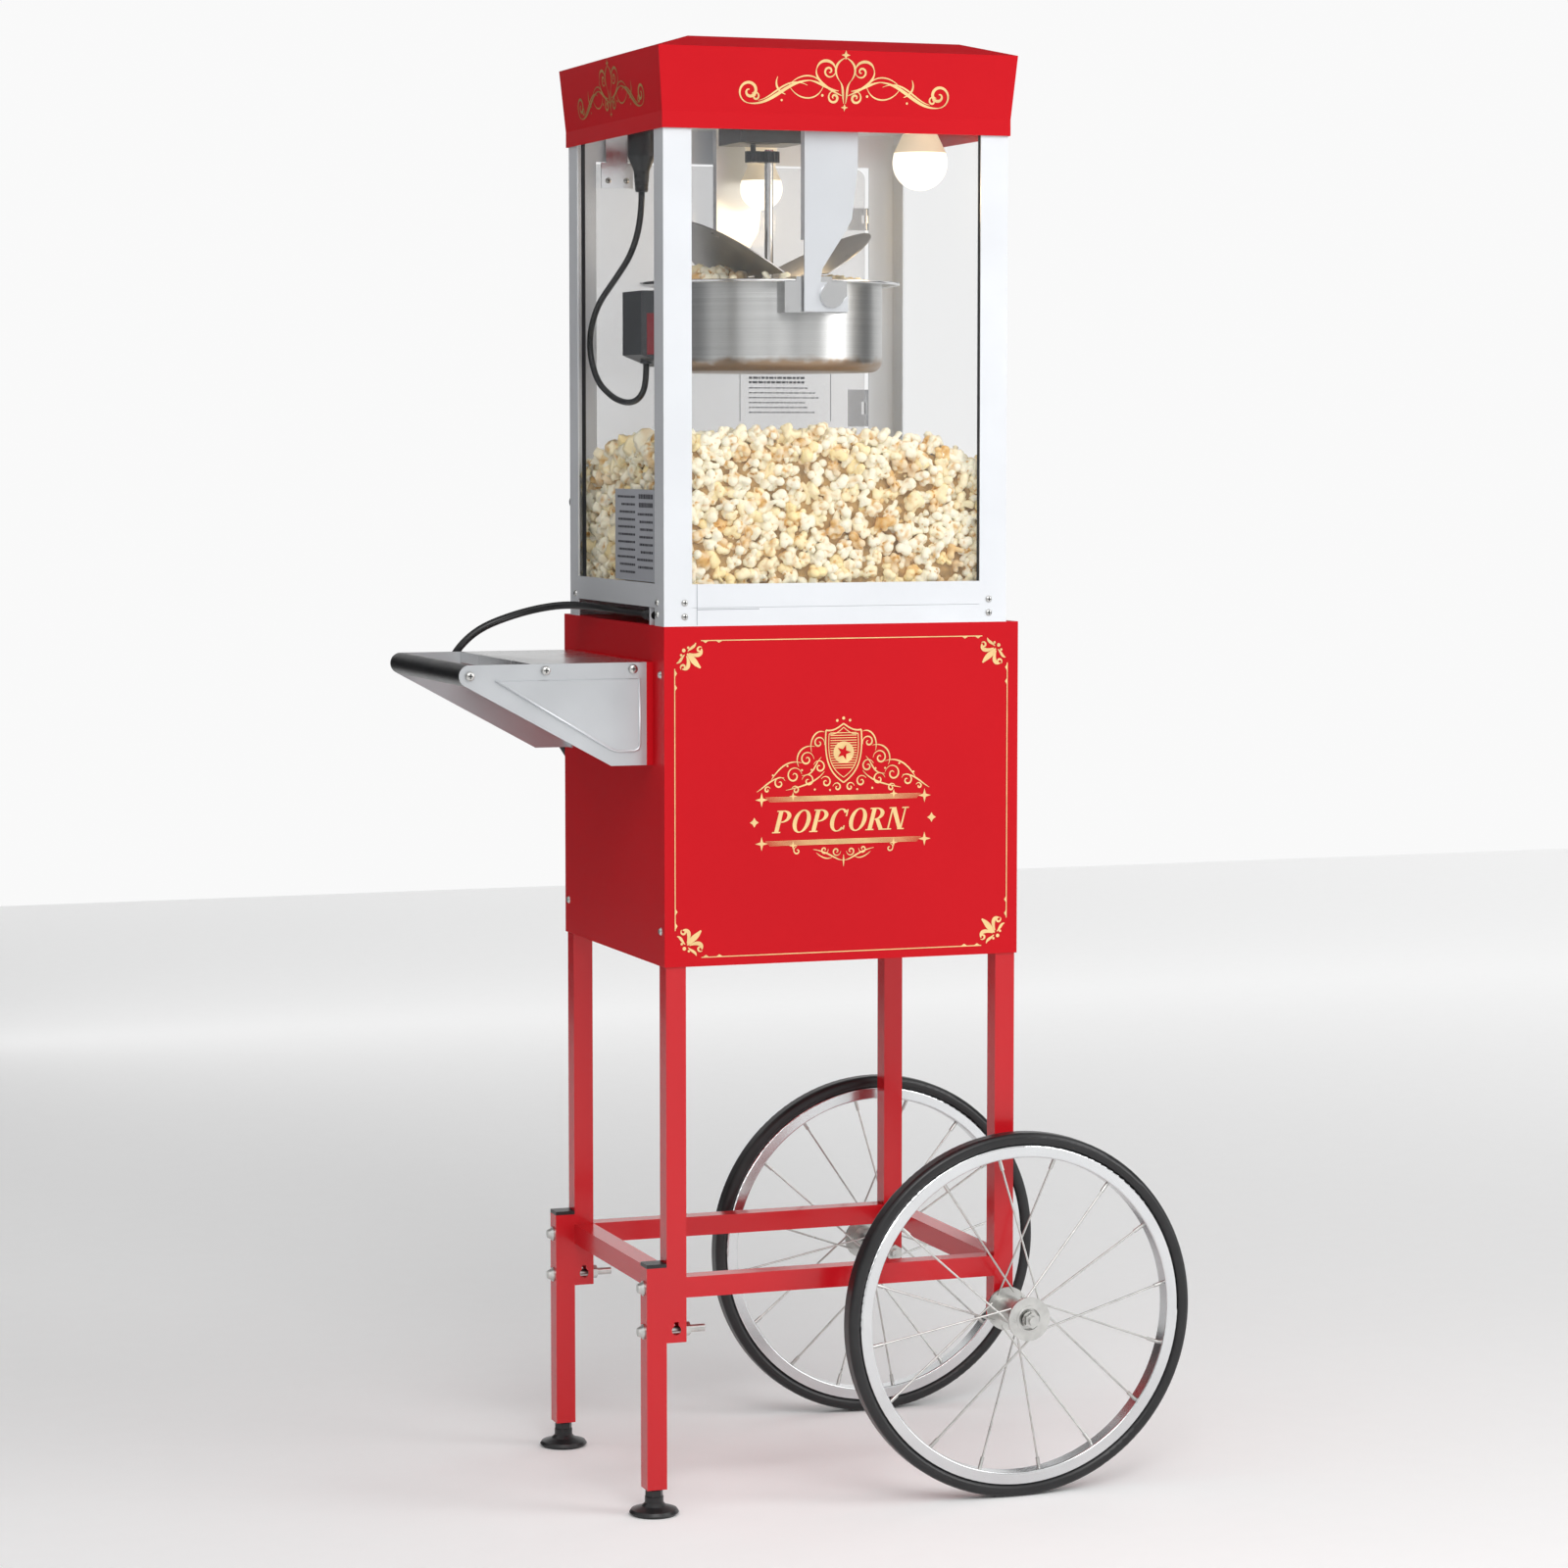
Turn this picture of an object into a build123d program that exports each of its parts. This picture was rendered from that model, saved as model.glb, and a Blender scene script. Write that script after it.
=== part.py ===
from build123d import *
import os
from math import acos, atan2, cos, hypot, pi, radians, sin, tan

# Popcorn cart: a glass-walled popcorn popper standing on a storage cabinet, carried by four square-tube
# legs, two spoked wheels and two levelling feet, with a tray shelf and push grip on one side.
# Millimetres. +X points from the grip to the wheels, -Y is the glass front, +Z is up. The origin lies on
# the floor, under the middle of the whole cart.

# ---- driving dimensions ----
TUBE = 22.0                # side of the square frame tube
TUBE_WALL = 1.5
SHEET = 1.2                # painted steel sheet

CAB_X = (-187.0, 213.0)    # storage cabinet
CAB_Y = (-179.0, 179.0)
CAB_Z = (585.0, 943.0)
LEG_X = (-174.0, 200.0)    # leg centre lines
LEG_Y = (-166.0, 166.0)
LEG_FOOT_Z = 185.0         # lower end of the long legs
RAIL_Z = 243.5             # centre of the low frame rails

WHEEL_R = 198.0            # outside of the tyre
WHEEL_Y = 218.5            # wheel plane, each side of the middle
AXLE_R = 5.0
SPOKES = 16

FOOT_TUBE_Z = (28.0, 266.0)
FOOT_PAD_R = 26.5
BOLT_R = 4.0
LOW_BOLT_Z = 197.0
SCREW_R = 2.0
PANEL_SCREW_Z = (622.0, 892.0)

MACH_X = (-187.0, 199.0)   # glass popper cabinet
MACH_Y = (-179.0, 155.0)
MACH_Z = (943.0, 1480.0)
POST = 31.0                # corner post, an L section
RAIL_TOP = 987.0           # top of the popper's lower rails
GLASS = 3.0
CANOPY_Z = (1459.0, 1476.0, 1543.0, 1557.5)

KETTLE = (-13.0, -16.0)    # centre of the kettle and of the stirring shaft
KETTLE_Z = (1210.0, 1306.0)
KETTLE_R = 123.0
KETTLE_RIM_R = 141.0
KETTLE_WALL = 1.5
PIVOT = (4.0, 1288.5)      # tipping axis, X and Z
LID_ANGLES = (37.0, 30.0)  # how far the left and right lid stand open
BRIDGE_HALF = 20.0

SHELF_Y = 141.0            # outer face of each shelf bracket
SHELF_TOP = 904.5
GRIP = (-386.5, 893.0)     # grip axis, X and Z
GRIP_R = 11.5

CORD_R = 4.2
KETTLE_CORD_R = 3.4

os.makedirs("parts", exist_ok=True)


def save(piece, name):
    """Label one finished sub-part and write it."""
    piece.part.label = name
    export_step(piece.part, f"parts/{name}.step")


def block(x, y, z, mode=Mode.ADD):
    """A box between three (low, high) pairs."""
    with Locations(((x[0] + x[1]) / 2, (y[0] + y[1]) / 2, (z[0] + z[1]) / 2)):
        Box(x[1] - x[0], y[1] - y[0], z[1] - z[0], mode=mode)


def rod(axis, start, end, radius, mode=Mode.ADD, top_radius=None):
    """A round bar, or a cone, along one axis from start (x, y, z) to a coordinate on that axis."""
    turn = {"x": (0, 90, 0), "y": (-90, 0, 0), "z": (0, 0, 0)}[axis]
    length = end - start["xyz".index(axis)]
    if length < 0:
        turn = {"x": (0, -90, 0), "y": (90, 0, 0), "z": (180, 0, 0)}[axis]
    base = (Align.CENTER, Align.CENTER, Align.MIN)
    with Locations(Location(start, turn)):
        if top_radius is None:
            Cylinder(radius, abs(length), align=base, mode=mode)
        else:
            Cone(radius, top_radius, abs(length), align=base, mode=mode)


def hexagon(axis, start, end, flats, mode=Mode.ADD):
    """A hexagonal prism, such as a nut, between two coordinates on one axis."""
    low = min(start["xyz".index(axis)], end)
    high = max(start["xyz".index(axis)], end)
    plane = {
        "x": Plane(origin=(low, start[1], start[2]), z_dir=(1, 0, 0)),
        "y": Plane(origin=(start[0], low, start[2]), z_dir=(0, 1, 0)),
        "z": Plane(origin=(start[0], start[1], low), z_dir=(0, 0, 1)),
    }[axis]
    with BuildSketch(plane) as outline:
        RegularPolygon(flats / 2, 6, major_radius=False)
    extrude(outline.sketch, amount=high - low, mode=mode)


# ---- legs, low frame and feet ----
with BuildPart() as legs:
    half = TUBE / 2
    inner = half - TUBE_WALL
    for x, outward in ((LEG_X[0], -1), (LEG_X[1], 1)):
        for y in LEG_Y:
            block((x - half, x + half), (y - half, y + half), (LEG_FOOT_Z, CAB_Z[1] - SHEET))
            block((x - inner, x + inner), (y - inner, y + inner), (LEG_FOOT_Z, CAB_Z[1] - SHEET), Mode.SUBTRACT)
            for z in PANEL_SCREW_Z:
                rod("x", (x, y, z), x + outward * TUBE, SCREW_R + 0.1, Mode.SUBTRACT)
            rod("y", (x, y - TUBE, WHEEL_R), y + TUBE, AXLE_R + 0.2, Mode.SUBTRACT)
            block((x - 2.6, x + 2.6), (y - TUBE, y + TUBE), (WHEEL_R, WHEEL_R + 9.0), Mode.SUBTRACT)
            if outward < 0:
                for z in (LOW_BOLT_Z, RAIL_Z):
                    rod("x", (x - TUBE, y, z), x + TUBE, BOLT_R + 0.2, Mode.SUBTRACT)
save(legs, "legs")

with BuildPart() as frame_rails:
    low, high = RAIL_Z - half, RAIL_Z + half
    for y in LEG_Y:
        block((LEG_X[0] + half, LEG_X[1] - half), (y - half, y + half), (low, high))
        block((LEG_X[0], LEG_X[1]), (y - inner, y + inner), (low + TUBE_WALL, high - TUBE_WALL), Mode.SUBTRACT)
    for x in LEG_X:
        block((x - half, x + half), (LEG_Y[0] + half, LEG_Y[1] - half), (low, high))
        block((x - inner, x + inner), (LEG_Y[0], LEG_Y[1]), (low + TUBE_WALL, high - TUBE_WALL), Mode.SUBTRACT)
save(frame_rails, "frame_rails")

FOOT_X = LEG_X[0] - TUBE
with BuildPart() as foot_tubes:
    for y in LEG_Y:
        block((FOOT_X - half, FOOT_X + half), (y - half, y + half), FOOT_TUBE_Z)
        block((FOOT_X - inner, FOOT_X + inner), (y - inner, y + inner), FOOT_TUBE_Z, Mode.SUBTRACT)
        for z in (LOW_BOLT_Z, RAIL_Z):
            rod("x", (FOOT_X - TUBE, y, z), FOOT_X + TUBE, BOLT_R + 0.2, Mode.SUBTRACT)
save(foot_tubes, "foot_tubes")

with BuildPart() as tube_caps:
    for y in LEG_Y:
        top = FOOT_TUBE_Z[1]
        block((FOOT_X - half, FOOT_X + half), (y - half, y + half), (top, top + 4.0))
        block((FOOT_X - inner, FOOT_X + inner), (y - inner, y + inner), (top - 10.0, top))
        block((FOOT_X - inner, FOOT_X + inner), (y - inner, y + inner), (FOOT_TUBE_Z[0], FOOT_TUBE_Z[0] + 14.0))
        rod("z", (FOOT_X, y, FOOT_TUBE_Z[0]), FOOT_TUBE_Z[0] + 14.0, BOLT_R + 0.08, Mode.SUBTRACT)
save(tube_caps, "tube_caps")

BOLT_HEAD_X = FOOT_X - half
LEG_INSIDE_X = LEG_X[0] + half
with BuildPart() as foot_bolts:
    for y in LEG_Y:
        for z, end in ((LOW_BOLT_Z, -139.5), (RAIL_Z, -150.0)):
            rod("x", (BOLT_HEAD_X, y, z), BOLT_HEAD_X - 1.5, 8.0)
            rod("x", (BOLT_HEAD_X - 1.5, y, z), BOLT_HEAD_X - 7.0, 7.0, top_radius=4.5)
            rod("x", (BOLT_HEAD_X, y, z), end, BOLT_R)
            hexagon("x", (LEG_INSIDE_X, y, z), LEG_INSIDE_X + 6.5, 13.0)
save(foot_bolts, "foot_bolts")


def make_foot(name, y):
    """A levelling foot: a flared pad, a lock nut and a threaded stud in one piece."""
    with BuildPart() as foot:
        with BuildSketch(Plane.XZ.offset(-y)):
            with BuildLine():
                Polyline((FOOT_X, 0), (FOOT_X + FOOT_PAD_R - 3, 0), (FOOT_X + FOOT_PAD_R, 3))
                Polyline((FOOT_X + FOOT_PAD_R, 3), (FOOT_X + FOOT_PAD_R - 2, 6), (FOOT_X + 13.5, 9.5))
                Polyline((FOOT_X + 13.5, 9.5), (FOOT_X + 10, 13), (FOOT_X + 10, 19.5), (FOOT_X, 19.5), (FOOT_X, 0))
            make_face()
        revolve(axis=Axis((FOOT_X, y, 0), (0, 0, 1)))
        hexagon("z", (FOOT_X, y, 19.5), FOOT_TUBE_Z[0] - 1.5, 17.0)
        rod("z", (FOOT_X, y, 19.5), 62.0, BOLT_R)
    save(foot, name)


make_foot("levelling_foot_front", LEG_Y[0])
make_foot("levelling_foot_rear", LEG_Y[1])


# ---- storage cabinet ----
with BuildPart() as cabinet_front_panel:
    block(CAB_X, (CAB_Y[0], CAB_Y[0] + SHEET), CAB_Z)
    block((LEG_X[0] + 15, LEG_X[1] - 15), (CAB_Y[0], CAB_Y[0] + 14), (CAB_Z[0], CAB_Z[0] + SHEET))
save(cabinet_front_panel, "cabinet_front_panel")

PANEL_BACK_LIP = 12.0
with BuildPart() as cabinet_side_panels:
    for x, inward in ((CAB_X[0], 1), (CAB_X[1], -1)):
        sheet = tuple(sorted((x, x + inward * SHEET)))
        lip = tuple(sorted((x, x + inward * PANEL_BACK_LIP)))
        block(sheet, (CAB_Y[0] + SHEET, CAB_Y[1]), CAB_Z)
        block(lip, (CAB_Y[1] - SHEET, CAB_Y[1]), CAB_Z)
        for y in LEG_Y:
            for z in PANEL_SCREW_Z:
                rod("x", (x - inward, y, z), x + 2 * inward, SCREW_R + 0.1, Mode.SUBTRACT)
save(cabinet_side_panels, "cabinet_side_panels")

INNER_X = (CAB_X[0] + SHEET, CAB_X[1] - SHEET)
INNER_Y = (CAB_Y[0] + SHEET, CAB_Y[1] - SHEET)
with BuildPart() as cabinet_deck:
    block(INNER_X, INNER_Y, (CAB_Z[1] - SHEET, CAB_Z[1]))
    block((LEG_X[0] + 15, LEG_X[1] - 15), (INNER_Y[1] - SHEET, INNER_Y[1]), (CAB_Z[1] - 18, CAB_Z[1]))
save(cabinet_deck, "cabinet_deck")

FLOOR_Z = CAB_Z[0] + 3 * SHEET
with BuildPart() as cabinet_floor:
    block(INNER_X, INNER_Y, (FLOOR_Z - SHEET, FLOOR_Z))
    block((LEG_X[0] + 15, LEG_X[1] - 15), (INNER_Y[1] - SHEET, INNER_Y[1]), (FLOOR_Z - SHEET, FLOOR_Z + 14))
    for x in LEG_X:
        for y in LEG_Y:
            notch = half + 0.4
            edge_x = x + (14 if x > 0 else -14)
            edge_y = y + (14 if y > 0 else -14)
            span_x = tuple(sorted((x + (-notch if x > 0 else notch), edge_x)))
            span_y = tuple(sorted((y + (-notch if y > 0 else notch), edge_y)))
            block(span_x, span_y, (FLOOR_Z - 2, FLOOR_Z + 16), Mode.SUBTRACT)
save(cabinet_floor, "cabinet_floor")

with BuildPart() as panel_screws:
    for x, outward in ((CAB_X[0], -1), (CAB_X[1], 1)):
        for y in LEG_Y:
            for z in PANEL_SCREW_Z:
                rod("x", (x, y, z), x + outward * 2.2, 4.2, top_radius=2.6)
                rod("x", (x, y, z), x - outward * 9.0, SCREW_R)
save(panel_screws, "panel_screws")


# ---- side shelf and push grip ----
BRACKET_T = 1.5
WALL_RAIL_T = 7.0
BRACKET_X1 = CAB_X[0] - WALL_RAIL_T
BRACKET_Z0 = 796.0
BRACKET_FOOT_X = -233.0
SHELF_SCREWS = ((-304.5, 897.5), (-209.0, 897.5))


def bracket_outline(face):
    """The side plate's outline: a round nose about the grip and a slanted lower edge."""
    run = BRACKET_FOOT_X - GRIP[0]
    drop = GRIP[1] - BRACKET_Z0
    touch = -atan2(drop, run) - acos(GRIP_R / hypot(run, drop))
    low = (GRIP[0] + GRIP_R * cos(touch), GRIP[1] + GRIP_R * sin(touch))
    with BuildSketch(face) as outline:
        with BuildLine():
            Line((GRIP[0], SHELF_TOP), (BRACKET_X1, SHELF_TOP))
            Line((BRACKET_X1, SHELF_TOP), (BRACKET_X1, BRACKET_Z0))
            Line((BRACKET_X1, BRACKET_Z0), (BRACKET_FOOT_X, BRACKET_Z0))
            Line((BRACKET_FOOT_X, BRACKET_Z0), low)
            ThreePointArc(low, (GRIP[0] - GRIP_R, GRIP[1]), (GRIP[0], SHELF_TOP))
        make_face()
    return outline.sketch


PAD = ((-358.8, 888.0), (-230.3, 811.5), (-202.0, 811.5), (-202.0, 888.0))
PAD_LIFT = 1.6
with BuildPart() as shelf_brackets:
    for side in (-1, 1):
        face = Plane(origin=(0, side * SHELF_Y, 0), x_dir=(1, 0, 0), z_dir=(0, -1, 0))
        inside = side * (SHELF_Y - BRACKET_T)
        extrude(bracket_outline(face), amount=side * BRACKET_T)
        with BuildSketch(face):
            with BuildLine():
                Polyline(*PAD, close=True)
            make_face()
        extrude(amount=-side * PAD_LIFT, taper=40)
        lip = tuple(sorted((inside, inside - side * 14)))
        block((BRACKET_X1 - BRACKET_T, BRACKET_X1), lip, (BRACKET_Z0, SHELF_TOP))
        for x, z in (GRIP, *SHELF_SCREWS):
            rod("y", (x, side * (SHELF_Y + 4), z), side * (SHELF_Y - 4), SCREW_R + 0.1, Mode.SUBTRACT)
save(shelf_brackets, "shelf_brackets")

SHELF_X = (-319.0, BRACKET_X1)
SHELF_INSIDE = SHELF_Y - BRACKET_T
with BuildPart() as shelf_plate:
    block(SHELF_X, (-SHELF_INSIDE, SHELF_INSIDE), (SHELF_TOP - 1.5, SHELF_TOP))
    block((SHELF_X[0], SHELF_X[0] + 1.5), (-SHELF_INSIDE, SHELF_INSIDE), (SHELF_TOP - 12, SHELF_TOP))
    for side in (-1, 1):
        flange = tuple(sorted((side * SHELF_INSIDE, side * (SHELF_INSIDE - 1.5))))
        block((SHELF_X[0], SHELF_X[1] - 2), flange, (SHELF_TOP - 16, SHELF_TOP))
        for x, z in SHELF_SCREWS:
            rod("y", (x, side * SHELF_Y, z), side * (SHELF_Y - 6), SCREW_R + 0.1, Mode.SUBTRACT)
    for side in (-1, 1):
        corner = tuple(sorted((side * SHELF_INSIDE, side * (SHELF_INSIDE - 14.5))))
        block((BRACKET_X1 - BRACKET_T - 0.2, BRACKET_X1), corner, (BRACKET_Z0, SHELF_TOP), Mode.SUBTRACT)
save(shelf_plate, "shelf_plate")

with BuildPart() as shelf_wall_rail:
    pan_x = (BRACKET_X1, CAB_X[0])
    block(pan_x, (-SHELF_Y, SHELF_Y), (BRACKET_Z0, SHELF_TOP))
    hollow_x = (BRACKET_X1 + SHEET, CAB_X[0])
    hollow_y = (SHEET - SHELF_Y, SHELF_Y - SHEET)
    block(hollow_x, hollow_y, (BRACKET_Z0 + SHEET, SHELF_TOP - SHEET), Mode.SUBTRACT)
save(shelf_wall_rail, "shelf_wall_rail")

with BuildPart() as grip_bar:
    rod("y", (GRIP[0], -SHELF_INSIDE, GRIP[1]), SHELF_INSIDE, GRIP_R)
    for side in (-1, 1):
        rod("y", (GRIP[0], side * SHELF_INSIDE, GRIP[1]), side * (SHELF_INSIDE - 22), SCREW_R + 0.1, Mode.SUBTRACT)
save(grip_bar, "grip_bar")


# ---- wheels ----
HUB_HALF = 31.5
HUB_FLANGE_R = 23.7
HUB_FLANGE_T = 3.0
SPOKE_HOLE_R = 19.5
RIM_R = (171.5, 185.0)
RIM_WIDTH = 20.0
TYRE_WIDTH = 23.0


def make_wheel(tag, side):
    """Tyre, rim, crossed wire spokes and hub of one wheel, each its own sub-part."""
    wheel_y = side * WHEEL_Y
    axle = Axis((LEG_X[1], 0, WHEEL_R), (0, 1, 0))
    section = Plane(origin=(LEG_X[1], 0, WHEEL_R), x_dir=(0, 1, 0), z_dir=(1, 0, 0))

    with BuildPart() as tyre:
        with BuildSketch(section) as tyre_section:
            with Locations((wheel_y, (WHEEL_R - RIM_R[1]) / 2 + RIM_R[1])):
                RectangleRounded(TYRE_WIDTH, WHEEL_R - RIM_R[1], 5.5)
        revolve(tyre_section.sketch, axis=axle)
    save(tyre, f"tyre_{tag}")

    with BuildPart() as rim:
        with BuildSketch(section):
            with Locations((wheel_y, (RIM_R[0] + RIM_R[1]) / 2)):
                RectangleRounded(RIM_WIDTH, RIM_R[1] - RIM_R[0], 2.0)
            with Locations((wheel_y, RIM_R[1] - 3)):
                Rectangle(RIM_WIDTH - 7, 11, mode=Mode.SUBTRACT)
        revolve(axis=axle)
    save(rim, f"rim_{tag}")

    with BuildPart() as spokes:
        for index in range(SPOKES):
            hub_side = 1 if index % 2 else -1
            lean = 52 if (index // 2) % 2 else -52
            rim_angle = radians(360 / SPOKES * index + 8)
            hub_angle = rim_angle + radians(lean)
            hub_point = Vector(
                LEG_X[1] + SPOKE_HOLE_R * cos(hub_angle),
                wheel_y + hub_side * (HUB_HALF - HUB_FLANGE_T),
                WHEEL_R + SPOKE_HOLE_R * sin(hub_angle),
            )
            rim_point = Vector(
                LEG_X[1] + (RIM_R[0] + 0.8) * cos(rim_angle),
                wheel_y + hub_side * 3,
                WHEEL_R + (RIM_R[0] + 0.8) * sin(rim_angle),
            )
            run = rim_point - hub_point
            base = (Align.CENTER, Align.CENTER, Align.MIN)
            with Locations(Plane(origin=hub_point, z_dir=run)):
                Cylinder(1.1, run.length, align=base)
            with Locations(Plane(origin=rim_point - run.normalized() * 13, z_dir=run)):
                Cylinder(2.0, 13, align=base)
    save(spokes, f"spokes_{tag}")

    with BuildPart() as hub:
        rod("y", (LEG_X[1], wheel_y - HUB_HALF, WHEEL_R), wheel_y + HUB_HALF, 14.5)
        for end in (-1, 1):
            start = wheel_y + end * (HUB_HALF - HUB_FLANGE_T)
            rod("y", (LEG_X[1], start, WHEEL_R), wheel_y + end * (HUB_HALF - 0.5), HUB_FLANGE_R)
            rod("y", (LEG_X[1], wheel_y + end * HUB_HALF, WHEEL_R), wheel_y + end * (HUB_HALF - 5), 12, Mode.SUBTRACT)
            rod("y", (LEG_X[1], wheel_y + end * (HUB_HALF - 1), WHEEL_R), wheel_y + end * (HUB_HALF - 6), 9.5)
        rod("y", (LEG_X[1], wheel_y - HUB_HALF, WHEEL_R), wheel_y + HUB_HALF, AXLE_R + 0.05, Mode.SUBTRACT)
    save(hub, f"hub_{tag}")


make_wheel("front", -1)
make_wheel("rear", 1)

AXLE_END_Y = 263.0
with BuildPart() as axle_bolts:
    for side in (-1, 1):
        rod("y", (LEG_X[1], side * 143, WHEEL_R), side * AXLE_END_Y, AXLE_R)
        hexagon("y", (LEG_X[1], side * 148, WHEEL_R), side * 155, 17.0)
        hexagon("y", (LEG_X[1], side * 177, WHEEL_R), side * 185, 17.0)
        rod("y", (LEG_X[1], side * 185, WHEEL_R), side * 186.6, 9.0)
        rod("y", (LEG_X[1], side * 250.4, WHEEL_R), side * 252, 9.0)
        hexagon("y", (LEG_X[1], side * 252, WHEEL_R), side * 259, 15.0)
save(axle_bolts, "axle_bolts")


# ---- glass popper cabinet ----
POST_T = 1.5
FACE_X = (MACH_X[0] + POST, MACH_X[1] - POST)      # between the corner posts
FACE_Y = (MACH_Y[0] + POST, MACH_Y[1] - POST)
BAND_Z = 962.0             # joint line on the front rail, and underside of the side rails
LINING = (POST_T, POST_T + SHEET)                  # depth of the sheet behind the posts
LEDGE = 8.0
DECK_TOP = 979.5


def ring(x, y, z, thick, mode=Mode.ADD):
    """Four walls of a rectangular sheet ring, measured to its outside."""
    block((x[0], x[0] + thick), y, z, mode)
    block((x[1] - thick, x[1]), y, z, mode)
    block((x[0] + thick, x[1] - thick), (y[0], y[0] + thick), z, mode)
    block((x[0] + thick, x[1] - thick), (y[1] - thick, y[1]), z, mode)


LINE_X = (MACH_X[0] + LINING[0], MACH_X[1] - LINING[0])
LINE_Y = (MACH_Y[0] + LINING[0], MACH_Y[1] - LINING[0])
with BuildPart() as lower_rails:
    ring(LINE_X, LINE_Y, (BAND_Z, RAIL_TOP), SHEET)
    ring(LINE_X, LINE_Y, (DECK_TOP - 1.5 - SHEET, DECK_TOP - 1.5), SHEET + LEDGE)
    for y in (LINE_Y[0], LINE_Y[1] - SHEET):
        block(LINE_X, (y, y + SHEET), (MACH_Z[0], BAND_Z))
    for y in (MACH_Y[0], MACH_Y[1] - POST_T):
        block(FACE_X, (y, y + POST_T), (BAND_Z + 0.4, RAIL_TOP))
        block(FACE_X, (y, y + POST_T), (MACH_Z[0], BAND_Z))
    for x in (MACH_X[0], MACH_X[1] - POST_T):
        block((x, x + POST_T), FACE_Y, (BAND_Z, RAIL_TOP))
    block((MACH_X[0], -160), (-131, -129.5), (MACH_Z[0], BAND_Z))
    block((LINE_X[0], -160), (-131, -129.5), (BAND_Z, BAND_Z + 1))
    rod("y", (-181, -131, 953), -129.5, CORD_R + 0.3, Mode.SUBTRACT)
save(lower_rails, "lower_rails")

with BuildPart() as serving_deck:
    deck_x = (LINE_X[0] + SHEET, LINE_X[1] - SHEET)
    deck_y = (LINE_Y[0] + SHEET, LINE_Y[1] - SHEET)
    block(deck_x, deck_y, (DECK_TOP - 1.5, DECK_TOP))
save(serving_deck, "serving_deck")

with BuildPart() as corner_posts:
    for x, inward_x in ((MACH_X[0], 1), (MACH_X[1], -1)):
        for y, inward_y in ((MACH_Y[0], 1), (MACH_Y[1], -1)):
            thin_x = tuple(sorted((x, x + inward_x * POST_T)))
            wide_x = tuple(sorted((x, x + inward_x * POST)))
            thin_y = tuple(sorted((y, y + inward_y * POST_T)))
            wide_y = tuple(sorted((y, y + inward_y * POST)))
            block(wide_x, thin_y, MACH_Z)
            block(thin_x, wide_y, MACH_Z)
save(corner_posts, "corner_posts")

PANE_TOP = 1470.0
with BuildPart() as glass_panes:
    block((-182, 194), (LINE_Y[0], LINE_Y[0] + GLASS), (RAIL_TOP, PANE_TOP))
    block((LINE_X[0], LINE_X[0] + GLASS), (-170, 150), (RAIL_TOP, PANE_TOP))
    block((LINE_X[1] - GLASS, LINE_X[1]), (-170, 150), (RAIL_TOP, PANE_TOP))
save(glass_panes, "glass_panes")


# ---- canopy and ceiling ----
CANOPY_X = ((-189.0, 200.5), (-189.0, 200.5), (-194.8, 206.4), (-146.8, 158.4))
CANOPY_Y = ((-182.4, 159.2), (-182.4, 159.2), (-188.2, 165.0), (-140.2, 117.0))
CEILING_Z = (MACH_Z[1], MACH_Z[1] + 2.0)
FLARE = 4.95               # degrees that the canopy's upper walls lean outward
SWITCH_Z = 1510.0
SWITCH_X = (-60.0, 5.0, 70.0)
SWITCH_Y = CANOPY_Y[0][1] + (SWITCH_Z - CANOPY_Z[1]) * tan(radians(FLARE))


def canopy_block(inset, lift, mode=Mode.ADD):
    """The canopy's outer form, shrunk by inset at the sides and lowered by lift."""
    levels = list(zip(CANOPY_X, CANOPY_Y, CANOPY_Z))
    for lower, upper in zip(levels, levels[1:]):
        faces = []
        for x, y, z in (lower, upper):
            with BuildSketch(Plane(origin=((x[0] + x[1]) / 2, (y[0] + y[1]) / 2, z - lift))) as level:
                Rectangle(x[1] - x[0] - 2 * inset, y[1] - y[0] - 2 * inset)
            faces.append(level.sketch)
        loft(faces, ruled=True, mode=mode)


def switch_plane(x, lean=0.0):
    """A plane on the canopy's rear wall, its normal pointing out of the cart."""
    tilt = radians(FLARE + lean)
    return Plane(origin=(x, SWITCH_Y, SWITCH_Z), x_dir=(-1, 0, 0), z_dir=(0, cos(tilt), -sin(tilt)))


with BuildPart() as canopy:
    canopy_block(0, 0)
    canopy_block(SHEET, SHEET, Mode.SUBTRACT)
    ledge_x = (CANOPY_X[0][0] - 0.1, CANOPY_X[0][1] + 0.1)
    ledge_y = (CANOPY_Y[0][0] - 0.1, CANOPY_Y[0][1] + 0.1)
    ring(ledge_x, ledge_y, (CEILING_Z[1], CEILING_Z[1] + SHEET), 13)
    for x in SWITCH_X:
        with BuildSketch(switch_plane(x)) as cutout:
            Rectangle(22.0, 16.4)
        extrude(cutout.sketch, amount=12, both=True, mode=Mode.SUBTRACT)
save(canopy, "canopy")

MOTOR_NECK = ((-48.0, 6.0), (-42.0, 10.0))
with BuildPart() as ceiling_plate:
    block(MACH_X, MACH_Y, CEILING_Z)
    block(FACE_X, (MACH_Y[1] - SHEET, MACH_Y[1]), (1444.0, CEILING_Z[1]))
    neck_x = (MOTOR_NECK[0][0] - 0.3, MOTOR_NECK[0][1] + 0.3)
    neck_y = (MOTOR_NECK[1][0] - 0.3, MOTOR_NECK[1][1] + 0.3)
    block(neck_x, neck_y, (CEILING_Z[0] - 1, CEILING_Z[1] + 1), Mode.SUBTRACT)
save(ceiling_plate, "ceiling_plate")


ROCKER_PIN = (9.5, 1.2)


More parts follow.
